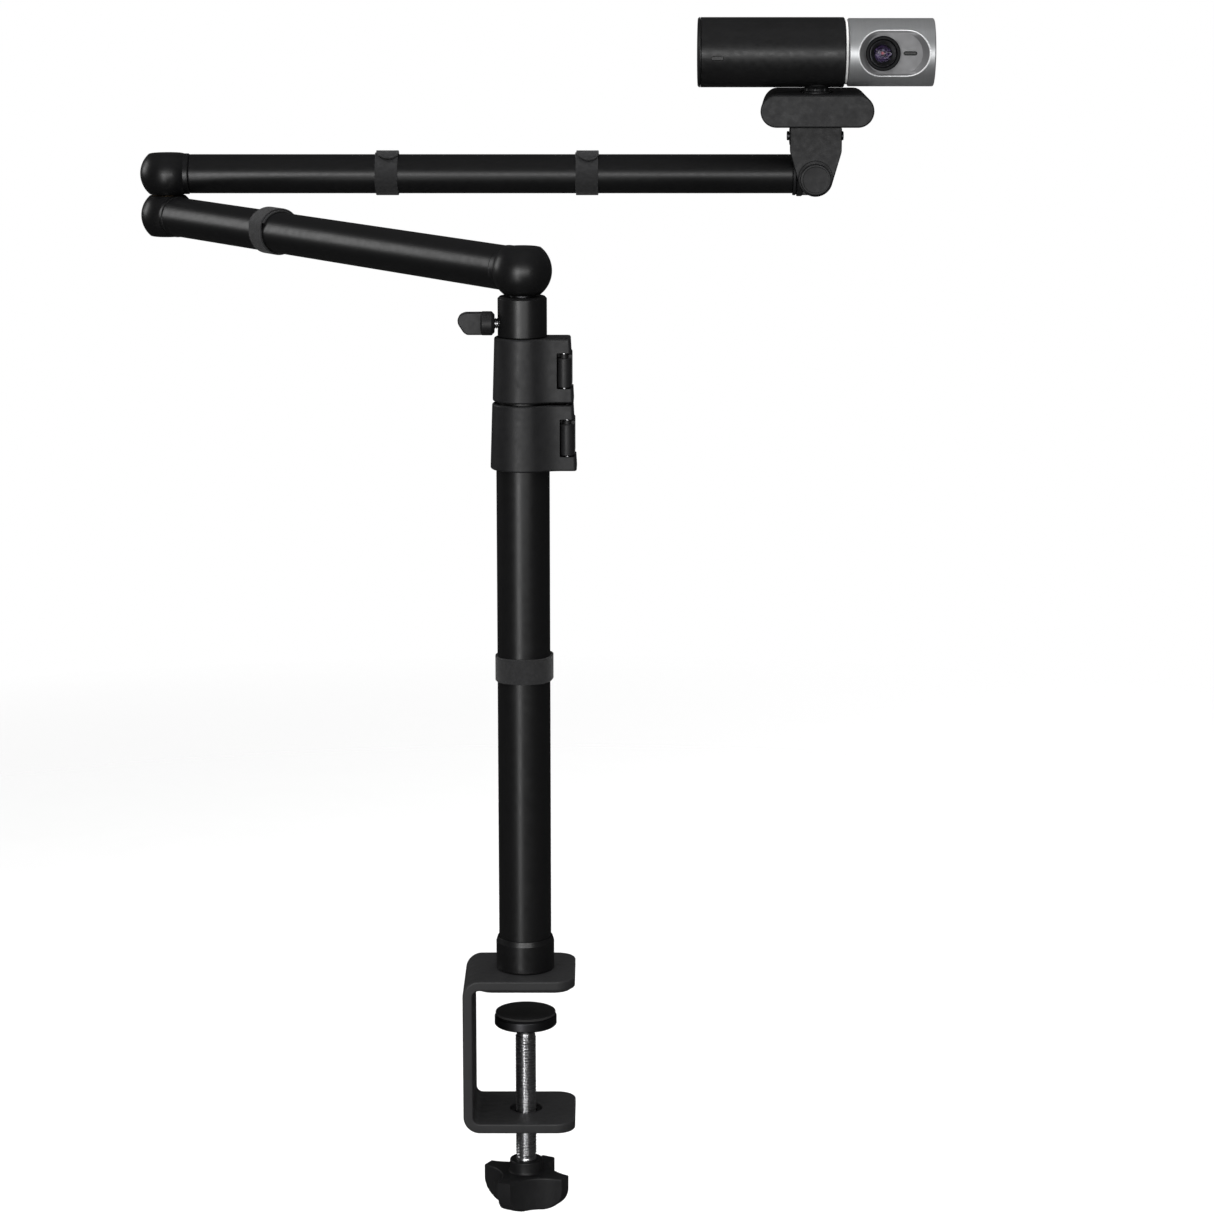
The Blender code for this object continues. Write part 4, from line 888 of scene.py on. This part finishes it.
def tip_mount():
    """The knuckle that rolls on the arm's end, with the tilt screw and its nut."""
    facing = place(TIP_X, ELBOW_Y, TILT_Z, "front")
    knuckle = [(0, -5.7), (10.9, -5.7, 0.3), (12, -6.8, 0.3), (12, -9.4, 0.3), (4, -9.4), (4, -24.4)]
    knuckle += [(0, -24.4)]
    obj = lathe("tip_knuckle_moulded", knuckle, place(TIP_X, ELBOW_Y, ELBOW_Z, "X"))
    block = arc(0, 0, 8.8, -90, 90, 36) + [(-6.7, 8.8), (-6.7, -8.8)]
    join(obj, slab("block", block, -7.0, 11.8, facing, edge=0.5))
    carve(obj, drill(3.3, -20, 30, facing))
    settle(obj, "tip", "moulded_black", "tip_knuckle", sharp=38)
    screw = [(0, 19.35), (6.6, 19.35), (7.1, 19.6, 0.3), (7.9, 19.6, 0.35), (8.25, 19.1, 0.3), (8.25, 16.4)]
    screw += [(3, 16.4), (3, -11), (0, -11)]
    settle(lathe("tilt_screw_moulded", screw, facing), "tip", "moulded_black", "tilt_screw")
    nut = hexagon_nut("tilt_nut_steel", 6.0, 7.3, 10.8, 3.3, place(TIP_X, ELBOW_Y, TILT_Z, "Y"), 30)
    settle(nut, "tip", "steel", "tilt_nut")


def camera_leg():
    half, shoulder, top, eye = 13.75, 14.6, 27.7, 9.2
    lean = math.degrees(math.atan2(half - eye, shoulder)) * 1.15
    low = arc(0, 0, eye, 180 + lean, 360 - lean, 48)
    high = [(half, shoulder, 9), (half, top, 1), (-half, top, 1), (-half, shoulder, 9)]
    outline = rounded([low[-1], *high, low[0]], steps=8)
    facing = place(TIP_X, ELBOW_Y, TILT_Z, "front")
    plate = slab("camera_leg_moulded", outline[1:-1] + low, 12.1, 17.3, facing, edge=0.6)
    pin_z = PIN_Z - TILT_Z
    pin_y = PIN_Y - ELBOW_Y
    cheek = arc(pin_y, pin_z, 4.9, -90, 90, 24) + [(-13.1, pin_z + 4.9), (-13.1, pin_z - 4.9)]
    cheek_thick = 1.6
    for inner in (-half, half - cheek_thick):
        aside = place(TIP_X, ELBOW_Y, TILT_Z, "side")
        join(plate, slab("cheek", cheek, inner, inner + cheek_thick, aside, edge=0.3))
    carve(plate, drill(2.3, -30, 30, place(TIP_X, PIN_Y, PIN_Z, "X")))
    recess = [(0, 20), (10.1, 20), (10.1, 17.6), (9.1, 17.0), (9.1, 16.1), (0, 16.1)]
    carve(plate, lathe("recess", recess, place(TIP_X, ELBOW_Y, TILT_Z + 0.6, "front")))
    carve(plate, drill(3.3, -20, 30, facing))
    settle(plate, "leg", "moulded_black", "camera_leg", sharp=38)
    end = half + 1.4
    pin = [(0, end), (2.45, end, 0.4), (2.45, half + 0.3), (2, half + 0.3)]
    pin += [(p[0], -p[1], *p[2:]) for p in reversed(pin)]
    pin = lathe("clip_pin_steel", pin, place(TIP_X, PIN_Y, PIN_Z, "X"), steps=SMALL_STEPS)
    settle(pin, "leg", "dark_steel", "clip_pin")


def clip_head():
    """The clip's head, higher and a little narrower behind, with a tab down to its pin."""
    middle = 390.4 + 8.6
    where = place(TIP_X, PIN_Y, middle, "front")

    def leaning(x, y, z):
        share = min(1.0, max(0.0, (19.5 - z) / 26.0))
        return x * (1 - 0.0744 * share), y * (1 + 0.16 * share) + 1.4 * share, z

    head = slab("clip_head_moulded", stadium(60.5, 17.2, 32), -6.5, 19.5, where, edge=1.0, shape=leaning)
    tab = arc(0, 0, 4.3, 180, 360, 28) + [(4.3, 8), (-4.3, 8)]
    join(head, slab("tab", tab, -11.55, 11.55, place(TIP_X, PIN_Y, PIN_Z, "side"), edge=0.3))
    carve(head, drill(2.3, -20, 20, place(TIP_X, PIN_Y, PIN_Z, "X")))
    seat = [(0, 10), (9.0, 10), (8.9, 0.7), (8.2, -0.1), (4.3, -0.1), (4.3, -9.6), (0, -9.6)]
    carve(head, lathe("seat", seat, place(TIP_X, PAN_Y, PAN_Z)))
    settle(head, "clip", "moulded_black", "clip_head", sharp=38)


# ---------- camera ----------


def camera_housing():
    centre = place(TIP_X, PAN_Y, CAMERA_Z, "X")
    pan = place(TIP_X, PAN_Y, PAN_Z)
    neck = [(0, 11), (9.2, 6.9, 0.6), (8.2, 4.5, 0.6), (6.5, 3.0, 0.4), (6.5, 1.7, 0.2), (7.6, 1.2, 0.25)]
    neck += [(7.6, 0.3, 0.2), (4, 0.3), (4, -9.2), (0, -9.2)]

    def ribbed(radius, z, turn):
        waist = 1.2 < z < 3.6 and radius < 7.4
        return radius - (0.45 if waist and math.cos(9 * turn) < -0.2 else 0.0)

    obj = lathe("camera_neck_moulded", neck, pan, radius_at=ribbed)
    carve(obj, drill(18.7, -30, 30, centre, TURN_STEPS))
    join(obj, drill(3.0, 1, 7.4, pan))
    settle(obj, "camera", "moulded_black", "camera_neck", sharp=38)

    shell = [(17.9, 14.3, 0.2), (CAMERA_R, 13.8, 0.2), (CAMERA_R, -61.7, 0.15), (16.6, -61.7), (16.6, 12.3)]
    shell += [(8.4, 12.3), (8.4, 14.3)]
    obj = lathe("camera_shell_anodised", shell, centre, True, 128)
    mic = place(MIC_X, PAN_Y, MIC_Z, "front")
    carve(obj, slab("mic", stadium(6.8, 2.3, 16), 14, 22, mic, 0.01, 1))
    port = place(PORT_X, PAN_Y, CAMERA_Z, "front")
    carve(obj, slab("port", stadium(9.8, 4.0, 16), -22, -12, port, 0.01, 1))
    settle(obj, "camera", "camera_black", "camera_shell")
    settle(slab("mic_mesh", stadium(6.6, 2.1, 16), 16.6, 17.2, mic, 0.2, 2), "camera", "gloss_black")

    cap = [(0, -62), (14.6, -62), (14.6, -57.7), (16.3, -57.7), (16.3, -62), (CAMERA_R, -62, 0.15)]
    cap += [(CAMERA_R, -62.5, 0.4), (17.7, -63.2, 0.4), (0, -63.2)]
    cap = lathe("camera_end_cap_anodised", cap, centre, steps=128)
    settle(cap, "camera", "camera_black", "camera_end_cap")
    bearing = [(8.1, 24), (8.1, 15.8), (16.8, 15.8, 0.2), (16.8, 14.6, 0.2), (8.1, 14.6), (8.1, 6)]
    bearing += [(5.5, 6), (5.5, 24)]
    settle(lathe("head_bearing_nylon", bearing, centre, True), "camera", "nylon", "head_bearing")
    socket = slab("usb_socket_steel", stadium(9.2, 3.4, 16), -18.0, -10.5, port, 0.12, 2)
    carve(socket, slab("cavity", stadium(8.4, 2.6, 16), -22, -12, port, 0.01, 1))
    settle(socket, "camera", "steel", "usb_socket")
    tongue = slab("usb_tongue", round_box(3.3, 0.35, 0.2, 3), -17.0, -12.2, port, 0.1, 2)
    settle(tongue, "camera", "gloss_black")


def on_head(x, z, radius):
    """The depth, towards the viewer, of a point on the round head."""
    return math.sqrt(max(0.0, radius**2 - z**2))


def lens_head():
    """The brushed silver head, with a bright chamfer round its window."""
    centre = place(TIP_X, PAN_Y, CAMERA_Z, "X")
    shell = [(0, 61.7), (17.4, 61.7, 0.2), (HEAD_R, 61.2, 0.2), (HEAD_R, 16.6, 0.2), (17.4, 16.1, 0.2)]
    shell += [(8.4, 16.1), (8.4, 17.9), (16.3, 17.9), (16.3, 60.1), (0, 60.1)]
    obj = lathe("lens_head_shell_brushed", shell, centre, steps=160)
    facing = place(WINDOW_X, PAN_Y, CAMERA_Z, "front")
    carve(obj, slab("window", stadium(WINDOW_LENGTH, WINDOW_HEIGHT, 40), 9, 22, facing, 0.01, 1))
    settle(obj, "lens_head", "silver", "lens_head_shell", sharp=40)

    fit = 0.06
    outer = anticlockwise(stadium(WINDOW_LENGTH - fit, WINDOW_HEIGHT - fit, 40))
    chamfer = [(0.0, 1.6), (0.0, 0.0), (0.12, -0.03), (0.3, 0.02), (0.62, 0.42), (0.68, 0.7)]
    chamfer += [(0.68, 2.0), (0.3, 2.0)]
    rows = []
    for pull, sink in chamfer:
        row = inset(outer, pull)
        rows.append([(x, z, on_head(x, z, HEAD_R) - sink) for x, z in row])
    bm = bmesh.new()
    skin(bm, rows, ring=True)
    trim = closed_mesh("window_trim_bright", bm)
    trim.matrix_world = facing
    settle(trim, "lens_head", "silver", sharp=50)
    polish = surface("window_trim_polish", (0.8, 0.81, 0.82), 0.42, 0.2, 0.003, 0.45, tone=0.04)
    trim.data.materials[0] = polish


def lens_window():
    """The grey dish behind the window, the lens in it and the small light beside it."""
    facing = place(WINDOW_X, PAN_Y, CAMERA_Z, "front")
    rim = anticlockwise(stadium(36.6, 23.1, 40))
    floor = anticlockwise(stadium(30.2, 21.1, 40))
    rows = [[(x, z, 10.4) for x, z in rim]]
    rows.append([(x, z, on_head(x, z, HEAD_R) - 0.85) for x, z in rim])
    rows.append([(x, z, on_head(x, z, HEAD_R) - 0.8) for x, z in inset(rim, 0.12)])
    for share in (0.25, 0.5, 0.75, 0.93):
        row = []
        for (xr, zr), (xf, zf) in zip(inset(rim, 0.12), floor):
            x, z = xr + (xf - xr) * share, zr + (zf - zr) * share
            top = on_head(xr, zr, HEAD_R) - 0.8
            row.append((x, z, top + (DISH_FLOOR - top) * share**0.9))
        rows.append(row)
    rows.append([(x, z, DISH_FLOOR) for x, z in floor])
    bm = bmesh.new()
    skin(bm, rows, capped=True)
    dish = closed_mesh("lens_bezel_matte", bm)
    dish.matrix_world = facing
    axis = place(LENS_X, PAN_Y, CAMERA_Z, "front")
    beside = place(LIGHT_X, PAN_Y, CAMERA_Z, "front")
    carve(dish, drill(7.3, 5, 25, axis, TURN_STEPS))
    carve(dish, slab("slot", stadium(7.2, 2.2, 14), 5, 25, beside, 0.01, 1))
    settle(dish, "lens_head", "grey", "lens_bezel", sharp=12)

    ring = [(7.0, 3), (7.0, 13.5), (9.15, 13.5, 0.1), (9.15, 15.6, 0.5), (8.75, 16, 0.3), (7.5, 16, 0.25)]
    ring += [(7.15, 15.6, 0.2), (6.9, 13.2), (6.2, 13.0), (6.2, 3)]
    ring = lathe("lens_ring_gloss", ring, axis, True)
    settle(ring, "lens_head", "gloss_black", "lens_ring")
    black = (0.0025, 0.0025, 0.003)
    enamel = surface("lens_ring_enamel", black, 0.3, 0.5, 0.0008, specular=0.06, spread=0.03)
    ring.data.materials[0] = enamel
    cone = [(6.88, 15.2), (6.6, 15.3, 0.1)]
    for step in range(5):
        r, z = 6.4 - 0.32 * step, 15.0 - 0.3 * step
        cone += [(r, z, 0.04), (r - 0.06, z - 0.2, 0.04)]
    cone += [(4.85, 13.5, 0.1), (4.85, 12.2), (6.1, 12.2), (6.1, 13.1), (6.8, 13.4)]
    settle(lathe("lens_cone_stepped", cone, axis, True), "lens_head", "dark_steel")
    dome = [math.pi / 28 * i for i in range(1, 15)]
    glass = [(0, 14.15)] + [(4.6 * math.sin(t), 12.6 + 1.55 * math.cos(t)) for t in dome]
    glass += [(4.6, 11.0), (0, 11.0)]
    obj = lathe("lens_glass_coated", glass, axis)
    settle(obj, "lens_head", "glass", "lens_glass")
    # The first two stops paint a red glint at the lens's centre; the later stops are the coating's violet
    # tint.
    tint_and_glint_stops = [(0.0, (0.6, 0.03, 0.04)), (0.11, (0.4, 0.02, 0.03)), (0.17, (0.01, 0.02, 0.04))]
    tint_and_glint_stops += [(0.4, (0.02, 0.01, 0.04)), (0.62, (0.05, 0.03, 0.08)), (0.78, (0.035, 0.025, 0.05))]
    tint_and_glint_stops += [(1.0, (0.01, 0.01, 0.015))]
    pupil = [(0, 10.2), (1.2, 10.1), (2.2, 9.7), (2.3, 9.4), (3.0, 9.6, 0.1), (3.9, 10.3, 0.1)]
    pupil += [(4.6, 10.8, 0.1), (5.9, 10.8), (5.9, 8), (0, 8)]
    pupil = lathe("lens_pupil_coated", pupil, axis)
    settle(pupil, "lens_head", "gloss_black")
    pupil.data.materials[0] = lens_coating_with_painted_glint("lens_pupil_coating_and_painted_glint", tint_and_glint_stops, 0.2)
    light = slab("status_light_window", stadium(6.6, 1.6, 16), 10.6, 12.7, beside, 0.25, 3)
    settle(light, "lens_head", "gloss_black", "status_light")


def inner_pieces():
    """The finish of each CAD piece that is left as it is, most of them inside others."""
    for name, obj in frame["nodes"].items():
        if not obj.hide_render:
            obj.data.materials.clear()
            obj.data.materials.append(finish(SLOT_OF[name]))


# ---------- stage ----------


def soft_light(name, where, target, width, height, power, reflected=True):
    light = bpy.data.lights.new(name, "AREA")
    light.shape = "RECTANGLE"
    light.size = width
    light.size_y = height
    light.energy = power
    obj = bpy.data.objects.new(name, light)
    bpy.context.scene.collection.objects.link(obj)
    obj.location = where
    obj.rotation_euler = (Vector(target) - Vector(where)).to_track_quat("-Z", "Y").to_euler()
    obj.visible_camera = False
    obj.visible_glossy = reflected


def studio_world(brightness, background):
    """A pale background, with dimmer light than that around the object, as in a dark studio."""
    world = bpy.data.worlds.new("studio")
    bpy.context.scene.world = world
    world.use_nodes = True
    tree = world.node_tree
    tree.nodes.clear()
    seen = node(tree, "ShaderNodeBackground", {"Color": (1, 1, 1, 1), "Strength": background})
    around = node(tree, "ShaderNodeBackground", {"Color": (1, 1, 1, 1), "Strength": brightness})
    path = node(tree, "ShaderNodeLightPath")
    both = node(tree, "ShaderNodeMixShader", {0: path.outputs["Is Camera Ray"]})
    tree.links.new(around.outputs[0], both.inputs[1])
    tree.links.new(seen.outputs[0], both.inputs[2])
    out = node(tree, "ShaderNodeOutputWorld")
    tree.links.new(both.outputs[0], out.inputs[0])


def pale_floor(level, radius):
    """A round matt floor that fades into the background."""
    bm = bmesh.new()
    bmesh.ops.create_circle(bm, cap_ends=True, segments=96, radius=radius)
    mesh = bpy.data.meshes.new("studio_floor")
    bm.to_mesh(mesh)
    bm.free()
    floor = bpy.data.objects.new("studio_floor", mesh)
    bpy.context.scene.collection.objects.link(floor)
    floor.location = (0, 0.1, level)
    floor.visible_glossy = False
    material, tree, principled = new_shader("studio_floor_paint")
    principled.inputs["Roughness"].default_value = 0.9
    principled.inputs["Specular IOR Level"].default_value = 0.1
    paint = mixed(tree, noise(tree, 40, 3), (0.83, 0.83, 0.83, 1), (0.86, 0.86, 0.86, 1))
    tree.links.new(paint, principled.inputs["Base Color"])
    where = node(tree, "ShaderNodeTexCoord")
    reach = node(tree, "ShaderNodeVectorMath", {0: where.outputs["Object"]}, operation="LENGTH")
    fade = remap(tree, reach.outputs["Value"], radius * 0.1, radius * 0.9, 0.0, 1.0)
    clear = node(tree, "ShaderNodeBsdfTransparent")
    both = node(tree, "ShaderNodeMixShader", {0: fade})
    tree.links.new(principled.outputs[0], both.inputs[1])
    tree.links.new(clear.outputs[0], both.inputs[2])
    tree.links.new(both.outputs[0], tree.nodes["Material Output"].inputs["Surface"])
    mesh.materials.append(material)


def studio():
    scene = bpy.context.scene
    setup = scene.webcam_arm_studio
    scene.view_settings.view_transform = "Standard"
    studio_world(setup.ambient, setup.background)
    pale_floor(setup.floor_level, FLOOR_RADIUS)
    soft_light("tall_softbox", (-0.42, -1.25, 0.1), (0, 0, 0.14), 0.14, 1.0, setup.tall_power)
    soft_light("long_softbox", (0.0, -1.35, 0.38), (0.0, 0.27, 0.38), 1.3, 0.26, setup.long_power)
    soft_light("side_softbox", (-1.25, 0.65, 0.62), (-0.1, 0.14, 0.34), 0.5, 0.5, setup.side_power)
    soft_light("overhead_softbox", (0.0, -0.2, 1.3), (0.0, 0.1, 0.0), 1.8, 1.8, setup.overhead_power, False)
    soft_light("rear_softbox", (0.9, 1.5, 0.8), (0.0, 0.1, 0.2), 0.9, 0.9, setup.rear_power, False)
    camera = bpy.data.cameras.new("viewpoint")
    camera.sensor_width = 36.0
    camera.lens = setup.focal_length
    obj = bpy.data.objects.new("viewpoint", camera)
    scene.collection.objects.link(obj)
    obj.location = VIEWPOINT
    obj.rotation_euler = (math.radians(90 - LOOKING_DOWN), 0, 0)
    scene.camera = obj


# ---------- add-on ----------


class ArmFinishes(bpy.types.PropertyGroup):
    """Colours and gloss of the arm and the camera."""

    anodised: bpy.props.FloatVectorProperty(
        name="Anodised tubes",
        description="Colour of the tubes and ball joints",
        subtype="COLOR",
        default=(0.004, 0.004, 0.0042),
    )
    anodised_gloss: bpy.props.FloatProperty(
        name="Tube roughness",
        description="Roughness of the tubes and ball joints",
        subtype="FACTOR",
        default=0.36,
    )
    powder: bpy.props.FloatVectorProperty(
        name="Powder coat",
        description="Colour of the clamp's steel strip",
        subtype="COLOR",
        default=(0.014, 0.014, 0.0144),
    )
    moulded: bpy.props.FloatVectorProperty(
        name="Moulded parts",
        description="Colour of the locks, knobs and camera mount",
        subtype="COLOR",
        default=(0.0085, 0.0085, 0.009),
    )
    housing: bpy.props.FloatVectorProperty(
        name="Camera housing",
        description="Colour of the camera's black barrel",
        subtype="COLOR",
        default=(0.0055, 0.0055, 0.0057),
    )
    webbing: bpy.props.FloatVectorProperty(
        name="Straps",
        description="Colour of the cable straps",
        subtype="COLOR",
        default=(0.011, 0.011, 0.0115),
    )
    silver: bpy.props.FloatVectorProperty(
        name="Lens head",
        description="Colour of the brushed lens head",
        subtype="COLOR",
        default=(0.62, 0.63, 0.64),
    )


class ArmShapes(bpy.types.PropertyGroup):
    """Sizes that a user would change."""

    strap_width: bpy.props.FloatProperty(
        name="Strap width",
        description="Width of each cable strap",
        unit="LENGTH",
        default=0.012,
        precision=4,
    )
    strap_thickness: bpy.props.FloatProperty(
        name="Strap thickness",
        description="Thickness of each cable strap",
        unit="LENGTH",
        default=0.0009,
        precision=4,
    )


class StudioSettings(bpy.types.PropertyGroup):
    """Floor, lights and lens of the stage."""

    floor_level: bpy.props.FloatProperty(
        name="Floor level",
        description="Height of the floor under the clamp",
        unit="LENGTH",
        default=CAD_BOX[0].z - 0.045,
    )
    ambient: bpy.props.FloatProperty(name="Ambient", description="Light from all round", default=0.03)
    background: bpy.props.FloatProperty(
        name="Background", description="Brightness of the background", default=1.0
    )
    tall_power: bpy.props.FloatProperty(
        name="Tall softbox", description="Power in watts", unit="POWER", default=4.5
    )
    long_power: bpy.props.FloatProperty(
        name="Long softbox", description="Power in watts", unit="POWER", default=7.5
    )
    side_power: bpy.props.FloatProperty(
        name="Side softbox", description="Power in watts", unit="POWER", default=2.2
    )
    overhead_power: bpy.props.FloatProperty(
        name="Overhead", description="Power in watts", unit="POWER", default=42.0
    )
    rear_power: bpy.props.FloatProperty(
        name="Rear softbox", description="Power in watts", unit="POWER", default=14.0
    )
    focal_length: bpy.props.FloatProperty(
        name="Lens", description="Focal length", unit="CAMERA", default=104.5
    )


class ClampStripOperator(bpy.types.Operator):
    """Build the clamp's bent steel strip"""

    bl_idname = "webcam_arm.clamp_strip"
    bl_label = "Clamp strip"

    def execute(self, context):
        bent_strip()
        return {"FINISHED"}


class ClampHardwareOperator(bpy.types.Operator):
    """Build the desk pad, the clamp's nut and the collar at the foot of the mast"""

    bl_idname = "webcam_arm.clamp_hardware"
    bl_label = "Clamp hardware"

    def execute(self, context):
        clamp_hardware()
        return {"FINISHED"}


class PressureFootOperator(bpy.types.Operator):
    """Build the disc and pad that press on the board from below"""

    bl_idname = "webcam_arm.pressure_foot"
    bl_label = "Pressure foot"

    def execute(self, context):
        pressure_foot()
        return {"FINISHED"}


class ClampHandleOperator(bpy.types.Operator):
    """Build the clamp's screw and its four-winged knob"""

    bl_idname = "webcam_arm.clamp_handle"
    bl_label = "Clamp screw and knob"

    def execute(self, context):
        clamp_handle()
        return {"FINISHED"}


class MastTubesOperator(bpy.types.Operator):
    """Build the three tubes of the mast"""

    bl_idname = "webcam_arm.mast_tubes"
    bl_label = "Mast tubes"

    def execute(self, context):
        mast_tubes()
        return {"FINISHED"}


class MastLocksOperator(bpy.types.Operator):
    """Build the two flip-lever locks"""

    bl_idname = "webcam_arm.mast_locks"
    bl_label = "Mast locks"

    def execute(self, context):
        mast_locks()
        return {"FINISHED"}


class MastHeadOperator(bpy.types.Operator):
    """Build the mast's socket and its thumb screw"""

    bl_idname = "webcam_arm.mast_head"
    bl_label = "Mast head"

    def execute(self, context):
        mast_head()
        return {"FINISHED"}


class ArmJointsOperator(bpy.types.Operator):
    """Build the shoulder and elbow balls with their bolt, washer and cap"""

    bl_idname = "webcam_arm.arm_joints"
    bl_label = "Arm joints"

    def execute(self, context):
        arm_joints()
        return {"FINISHED"}


class ArmTubesOperator(bpy.types.Operator):
    """Build both arm tubes and the end plug"""

    bl_idname = "webcam_arm.arm_tubes"
    bl_label = "Arm tubes"

    def execute(self, context):
        arm_tubes()
        return {"FINISHED"}


class StrapsOperator(bpy.types.Operator):
    """Wind the four cable straps"""

    bl_idname = "webcam_arm.straps"
    bl_label = "Cable straps"

    def execute(self, context):
        straps()
        return {"FINISHED"}


class TipMountOperator(bpy.types.Operator):
    """Build the rolling knuckle, its tilt screw and nut"""

    bl_idname = "webcam_arm.tip_mount"
    bl_label = "Tip knuckle"

    def execute(self, context):
        tip_mount()
        return {"FINISHED"}


class CameraLegOperator(bpy.types.Operator):
    """Build the leg and the clip's pin"""

    bl_idname = "webcam_arm.camera_leg"
    bl_label = "Camera leg"

    def execute(self, context):
        camera_leg()
        return {"FINISHED"}


class ClipHeadOperator(bpy.types.Operator):
    """Build the clip's head"""

    bl_idname = "webcam_arm.clip_head"
    bl_label = "Clip head"

    def execute(self, context):
        clip_head()
        return {"FINISHED"}


class CameraHousingOperator(bpy.types.Operator):
    """Build the camera's neck, black housing, bearing and socket"""

    bl_idname = "webcam_arm.camera_housing"
    bl_label = "Camera housing"

    def execute(self, context):
        camera_housing()
        return {"FINISHED"}


class LensHeadOperator(bpy.types.Operator):
    """Build the silver head and the bright edge of its window"""

    bl_idname = "webcam_arm.lens_head"
    bl_label = "Lens head"

    def execute(self, context):
        lens_head()
        return {"FINISHED"}


class LensWindowOperator(bpy.types.Operator):
    """Build the dish, the lens and the status light"""

    bl_idname = "webcam_arm.lens_window"
    bl_label = "Lens window"

    def execute(self, context):
        lens_window()
        return {"FINISHED"}


class InnerPiecesOperator(bpy.types.Operator):
    """Paint the CAD pieces that are left as they are"""

    bl_idname = "webcam_arm.inner_pieces"
    bl_label = "Inner pieces"

    def execute(self, context):
        inner_pieces()
        return {"FINISHED"}


class StageOperator(bpy.types.Operator):
    """Set up the floor, the soft lights and the camera"""

    bl_idname = "webcam_arm.stage"
    bl_label = "Stage"

    def execute(self, context):
        studio()
        return {"FINISHED"}


OPERATORS = (
    ClampStripOperator,
    ClampHardwareOperator,
    PressureFootOperator,
    ClampHandleOperator,
    MastTubesOperator,
    MastLocksOperator,
    MastHeadOperator,
    ArmJointsOperator,
    ArmTubesOperator,
    StrapsOperator,
    TipMountOperator,
    CameraLegOperator,
    ClipHeadOperator,
    CameraHousingOperator,
    LensHeadOperator,
    LensWindowOperator,
    InnerPiecesOperator,
    StageOperator,
)


class WebcamArmPanel(bpy.types.Panel):
    """Lists the pieces and their settings"""

    bl_idname = "VIEW3D_PT_webcam_arm"
    bl_label = "Webcam arm"
    bl_space_type = "VIEW_3D"
    bl_region_type = "UI"
    bl_category = "Webcam arm"

    def draw(self, context):
        column = self.layout.column()
        for operator in OPERATORS:
            column.operator(operator.bl_idname)
        scene = context.scene
        for group in (scene.webcam_arm_finishes, scene.webcam_arm_shapes, scene.webcam_arm_studio):
            for name in group.bl_rna.properties.keys():
                if name not in ("rna_type", "name"):
                    column.prop(group, name)


CLASSES = (ArmFinishes, ArmShapes, StudioSettings, *OPERATORS, WebcamArmPanel)


def register():
    for cls in CLASSES:
        bpy.utils.register_class(cls)
    bpy.types.Scene.webcam_arm_finishes = bpy.props.PointerProperty(type=ArmFinishes)
    bpy.types.Scene.webcam_arm_shapes = bpy.props.PointerProperty(type=ArmShapes)
    bpy.types.Scene.webcam_arm_studio = bpy.props.PointerProperty(type=StudioSettings)


def unregister():
    del bpy.types.Scene.webcam_arm_studio
    del bpy.types.Scene.webcam_arm_shapes
    del bpy.types.Scene.webcam_arm_finishes
    for cls in reversed(CLASSES):
        bpy.utils.unregister_class(cls)


def main():
    register()
    for operator in OPERATORS:
        group, name = operator.bl_idname.split(".")
        getattr(getattr(bpy.ops, group), name)()
    bpy.context.view_layer.update()


if __name__ == "__main__":
    main()
